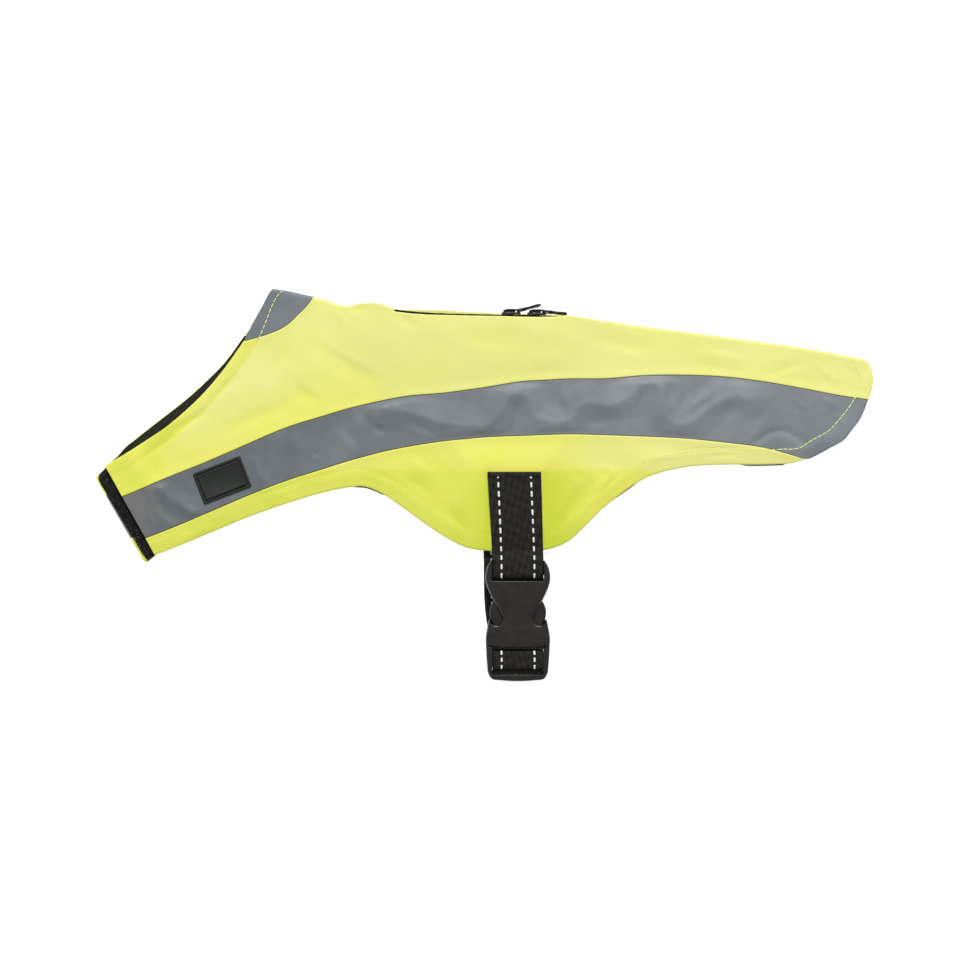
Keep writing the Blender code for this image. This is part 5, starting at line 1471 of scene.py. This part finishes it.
def zipSlider(which):
    rear = zipper["rears"][which]
    front = rear - zipper["sliderLength"]
    at = (front + rear) / 2
    wide = zipper["halfWidth"]
    pin = rear - zipper["pinInset"]
    half = ((front + 0.2, 0.0), (front, 1.1), (front + 0.35, 2.5), (front + 1.6, wide),
            (front + 3.6, wide * 0.97), (front + 6.0, 2.5), (rear - 1.2, 2.35), (rear - 0.3, 1.9),
            (rear, 0.9))
    side = through(half)(np.linspace(0, 1, 30))
    outline = side.tolist() + [(x, -up) for x, up in side[::-1]]
    body = slabAcross(f"slider{which}", outline, (0.7, 1.6), at, sliderEnamel)
    first, last = front + 0.5, pin + 1.5
    arch = []
    for t in np.linspace(0, 1, 17):  # the crown that bridges the pull's pin
        arch.append((first + (last - first) * t, 1.5 + 1.95 * (1 - abs(2 * t - 1) ** 5.0)))
    crown = arch + [(x + (at - x) * 0.2, out - 0.72) for x, out in arch[::-1]]
    bridge = slabAlong("bridge", crown, 0.85, at)
    web = [(first + 0.2, 1.45), (first + 2.1, 1.45), (first + 2.4, 1.8), (first + 3.6, 1.8),
           (first + 3.9, 1.45), (pin - 1.0, 1.45), (pin - 0.95, 2.8), (first + 0.6, 3.0)]
    cheek = slabAlong("cheek", web, 0.6, at)
    back = slabAcross("plate", outline, (-1.6, -1.0), at)
    wedge = [(front + 3.2, 0.0), (front + 4.0, 0.9), (front + 6.2, 0.45), (front + 6.2, -0.45),
             (front + 4.0, -0.9)]
    post = slabAcross("post", wedge, (-1.25, 1.25), at)
    shaped(body, [back, post, bridge, cheek], "UNION", 0.16, 2)
    seated(body, "zip_metal", f"slider_{which.lower()}")
    return pin, at


def zipPull(which, pin, at, raised):
    along = np.array((cos(raised), 0, 0)) + zipOut * sin(raised)
    away = zipOut * cos(raised) - np.array((sin(raised), 0, 0))
    hinge = zipPoint(pin, zipper["pinHeight"], 0.0, at)
    twist = zipper["twist"]
    upTwisted, away = zipUp * cos(twist) + away * sin(twist), away * cos(twist) - zipUp * sin(twist)

    def prism(outline, low, high, name, finish=None):
        points = [hinge + along * u + upTwisted * v + away * side
                  for side in (low, high) for u, v in outline]
        return jointed(name, points, len(outline), finish)

    length, wide, waist, bulb = 12.2, 2.3, 1.5, 2.2
    tip = [(length - bulb + bulb * cos(a), bulb * sin(a)) for a in np.linspace(-pi / 2, pi / 2, 25)]
    side = through(((2.9, wide), (4.2, 2.1), (5.4, waist + 0.05), (6.8, waist), (8.2, 1.65), (10.0, bulb)))
    run = side(np.linspace(0, 1, 18)).tolist()
    outline = [(-0.4, -wide + 0.3), (-0.15, -wide), *[(u, -v) for u, v in run[:-1]], *tip]
    outline += [*[(u, v) for u, v in run[::-1][1:]], (-0.15, wide), (-0.4, wide - 0.3)]
    tab = prism(outline, -0.4, 0.4, f"pull{which}", sliderEnamel)
    window = [(0.4, -1.15), (3.05, -1.15), (3.05, 1.15), (0.4, 1.15)]
    eye = [(length - bulb + 0.9 * cos(a), 0.9 * sin(a)) for a in np.linspace(0, 2 * pi, 25)[:-1]]
    shaped(tab, [prism(window, -2, 2, "window"), prism(eye, -2, 2, "eye")], "DIFFERENCE")
    ribs = []
    for k in range(5):  # grip ribs across both faces of the waist
        u = 5.5 + 0.75 * k
        for low, high in ((0.2, 0.58), (-0.58, -0.2)):
            ribs.append(prism([(u, -1.3), (u + 0.36, -1.3), (u + 0.36, 1.3), (u, 1.3)], low, high, "rib"))
    shaped(tab, ribs, "UNION", 0.1, 2)
    return seated(tab, "zip_metal", f"pull_{which.lower()}", body=f"pull_{which.lower()}")


for which, raised in (("Front", radians(14.5)), ("Rear", radians(-6))):
    pin, at = zipSlider(which)
    zipPull(which, pin, at, raised)
print("zip closed")


studio = {
    "lens": 100.0,
    "cameraHeight": 1.352,  # 485 mm of the vest's level fills the frame
    "floor": (0.5, 0.5, 0.5, 1),
    "glow": 0.84,  # the paper is lit through from below, so shadows stay faint
    "halfSize": 3000.0, "drop": 0.05,  # the floor's, in millimetres
    "sky": 0.3,
    "lights": (  # place, size, power
        ((0.25, 2.05, 2.28), 1.4, 98.0),
        ((-1.0, -0.9, 1.2), 1.2, 4.5),
    ),
}


def buildStudio():
    scene.view_settings.view_transform = "Standard"  # keeps the dye as vivid as it is
    floorFinish, tree, shader = newFinish("floorPaper", 0.85, 0.2)
    tone = ramp(tree, noiseOf(tree, 400.0, 3.0), 0.3, 0.7, 0.985, 1.0)
    finishWith(tree, shader, blendColours(tree, 1.0, studio["floor"], tone, "MULTIPLY"))
    shader.inputs["Emission Color"].default_value = (1, 1, 1, 1)
    shader.inputs["Emission Strength"].default_value = studio["glow"]
    corners = [(sx * studio["halfSize"], sy * studio["halfSize"], -studio["drop"])
               for sx, sy in ((-1, -1), (1, -1), (1, 1), (-1, 1))]
    floor = meshPiece("floor", corners, [(0, 1, 2, 3)], floorFinish)
    for k, (place, size, power) in enumerate(studio["lights"]):
        light = bpy.data.lights.new(f"softbox{k}", "AREA")
        light.shape = "DISK"
        light.size = size
        light.energy = power
        lamp = bpy.data.objects.new(f"softbox{k}", light)
        lamp.location = place
        lamp.rotation_euler = (-Vector(place)).to_track_quat("-Z", "Y").to_euler()
        scene.collection.objects.link(lamp)
    world = bpy.data.worlds.new("studioSky")
    world.use_nodes = True
    world.node_tree.nodes["Background"].inputs["Color"].default_value = (1, 1, 1, 1)
    world.node_tree.nodes["Background"].inputs["Strength"].default_value = studio["sky"]
    scene.world = world
    data = bpy.data.cameras.new("camera")
    data.lens = studio["lens"]
    data.sensor_width = 36.0
    data.dof.use_dof = False
    camera = bpy.data.objects.new("camera", data)
    camera.location = (0, 0, studio["cameraHeight"])
    scene.collection.objects.link(camera)
    scene.camera = camera


buildStudio()
print("studio lit")
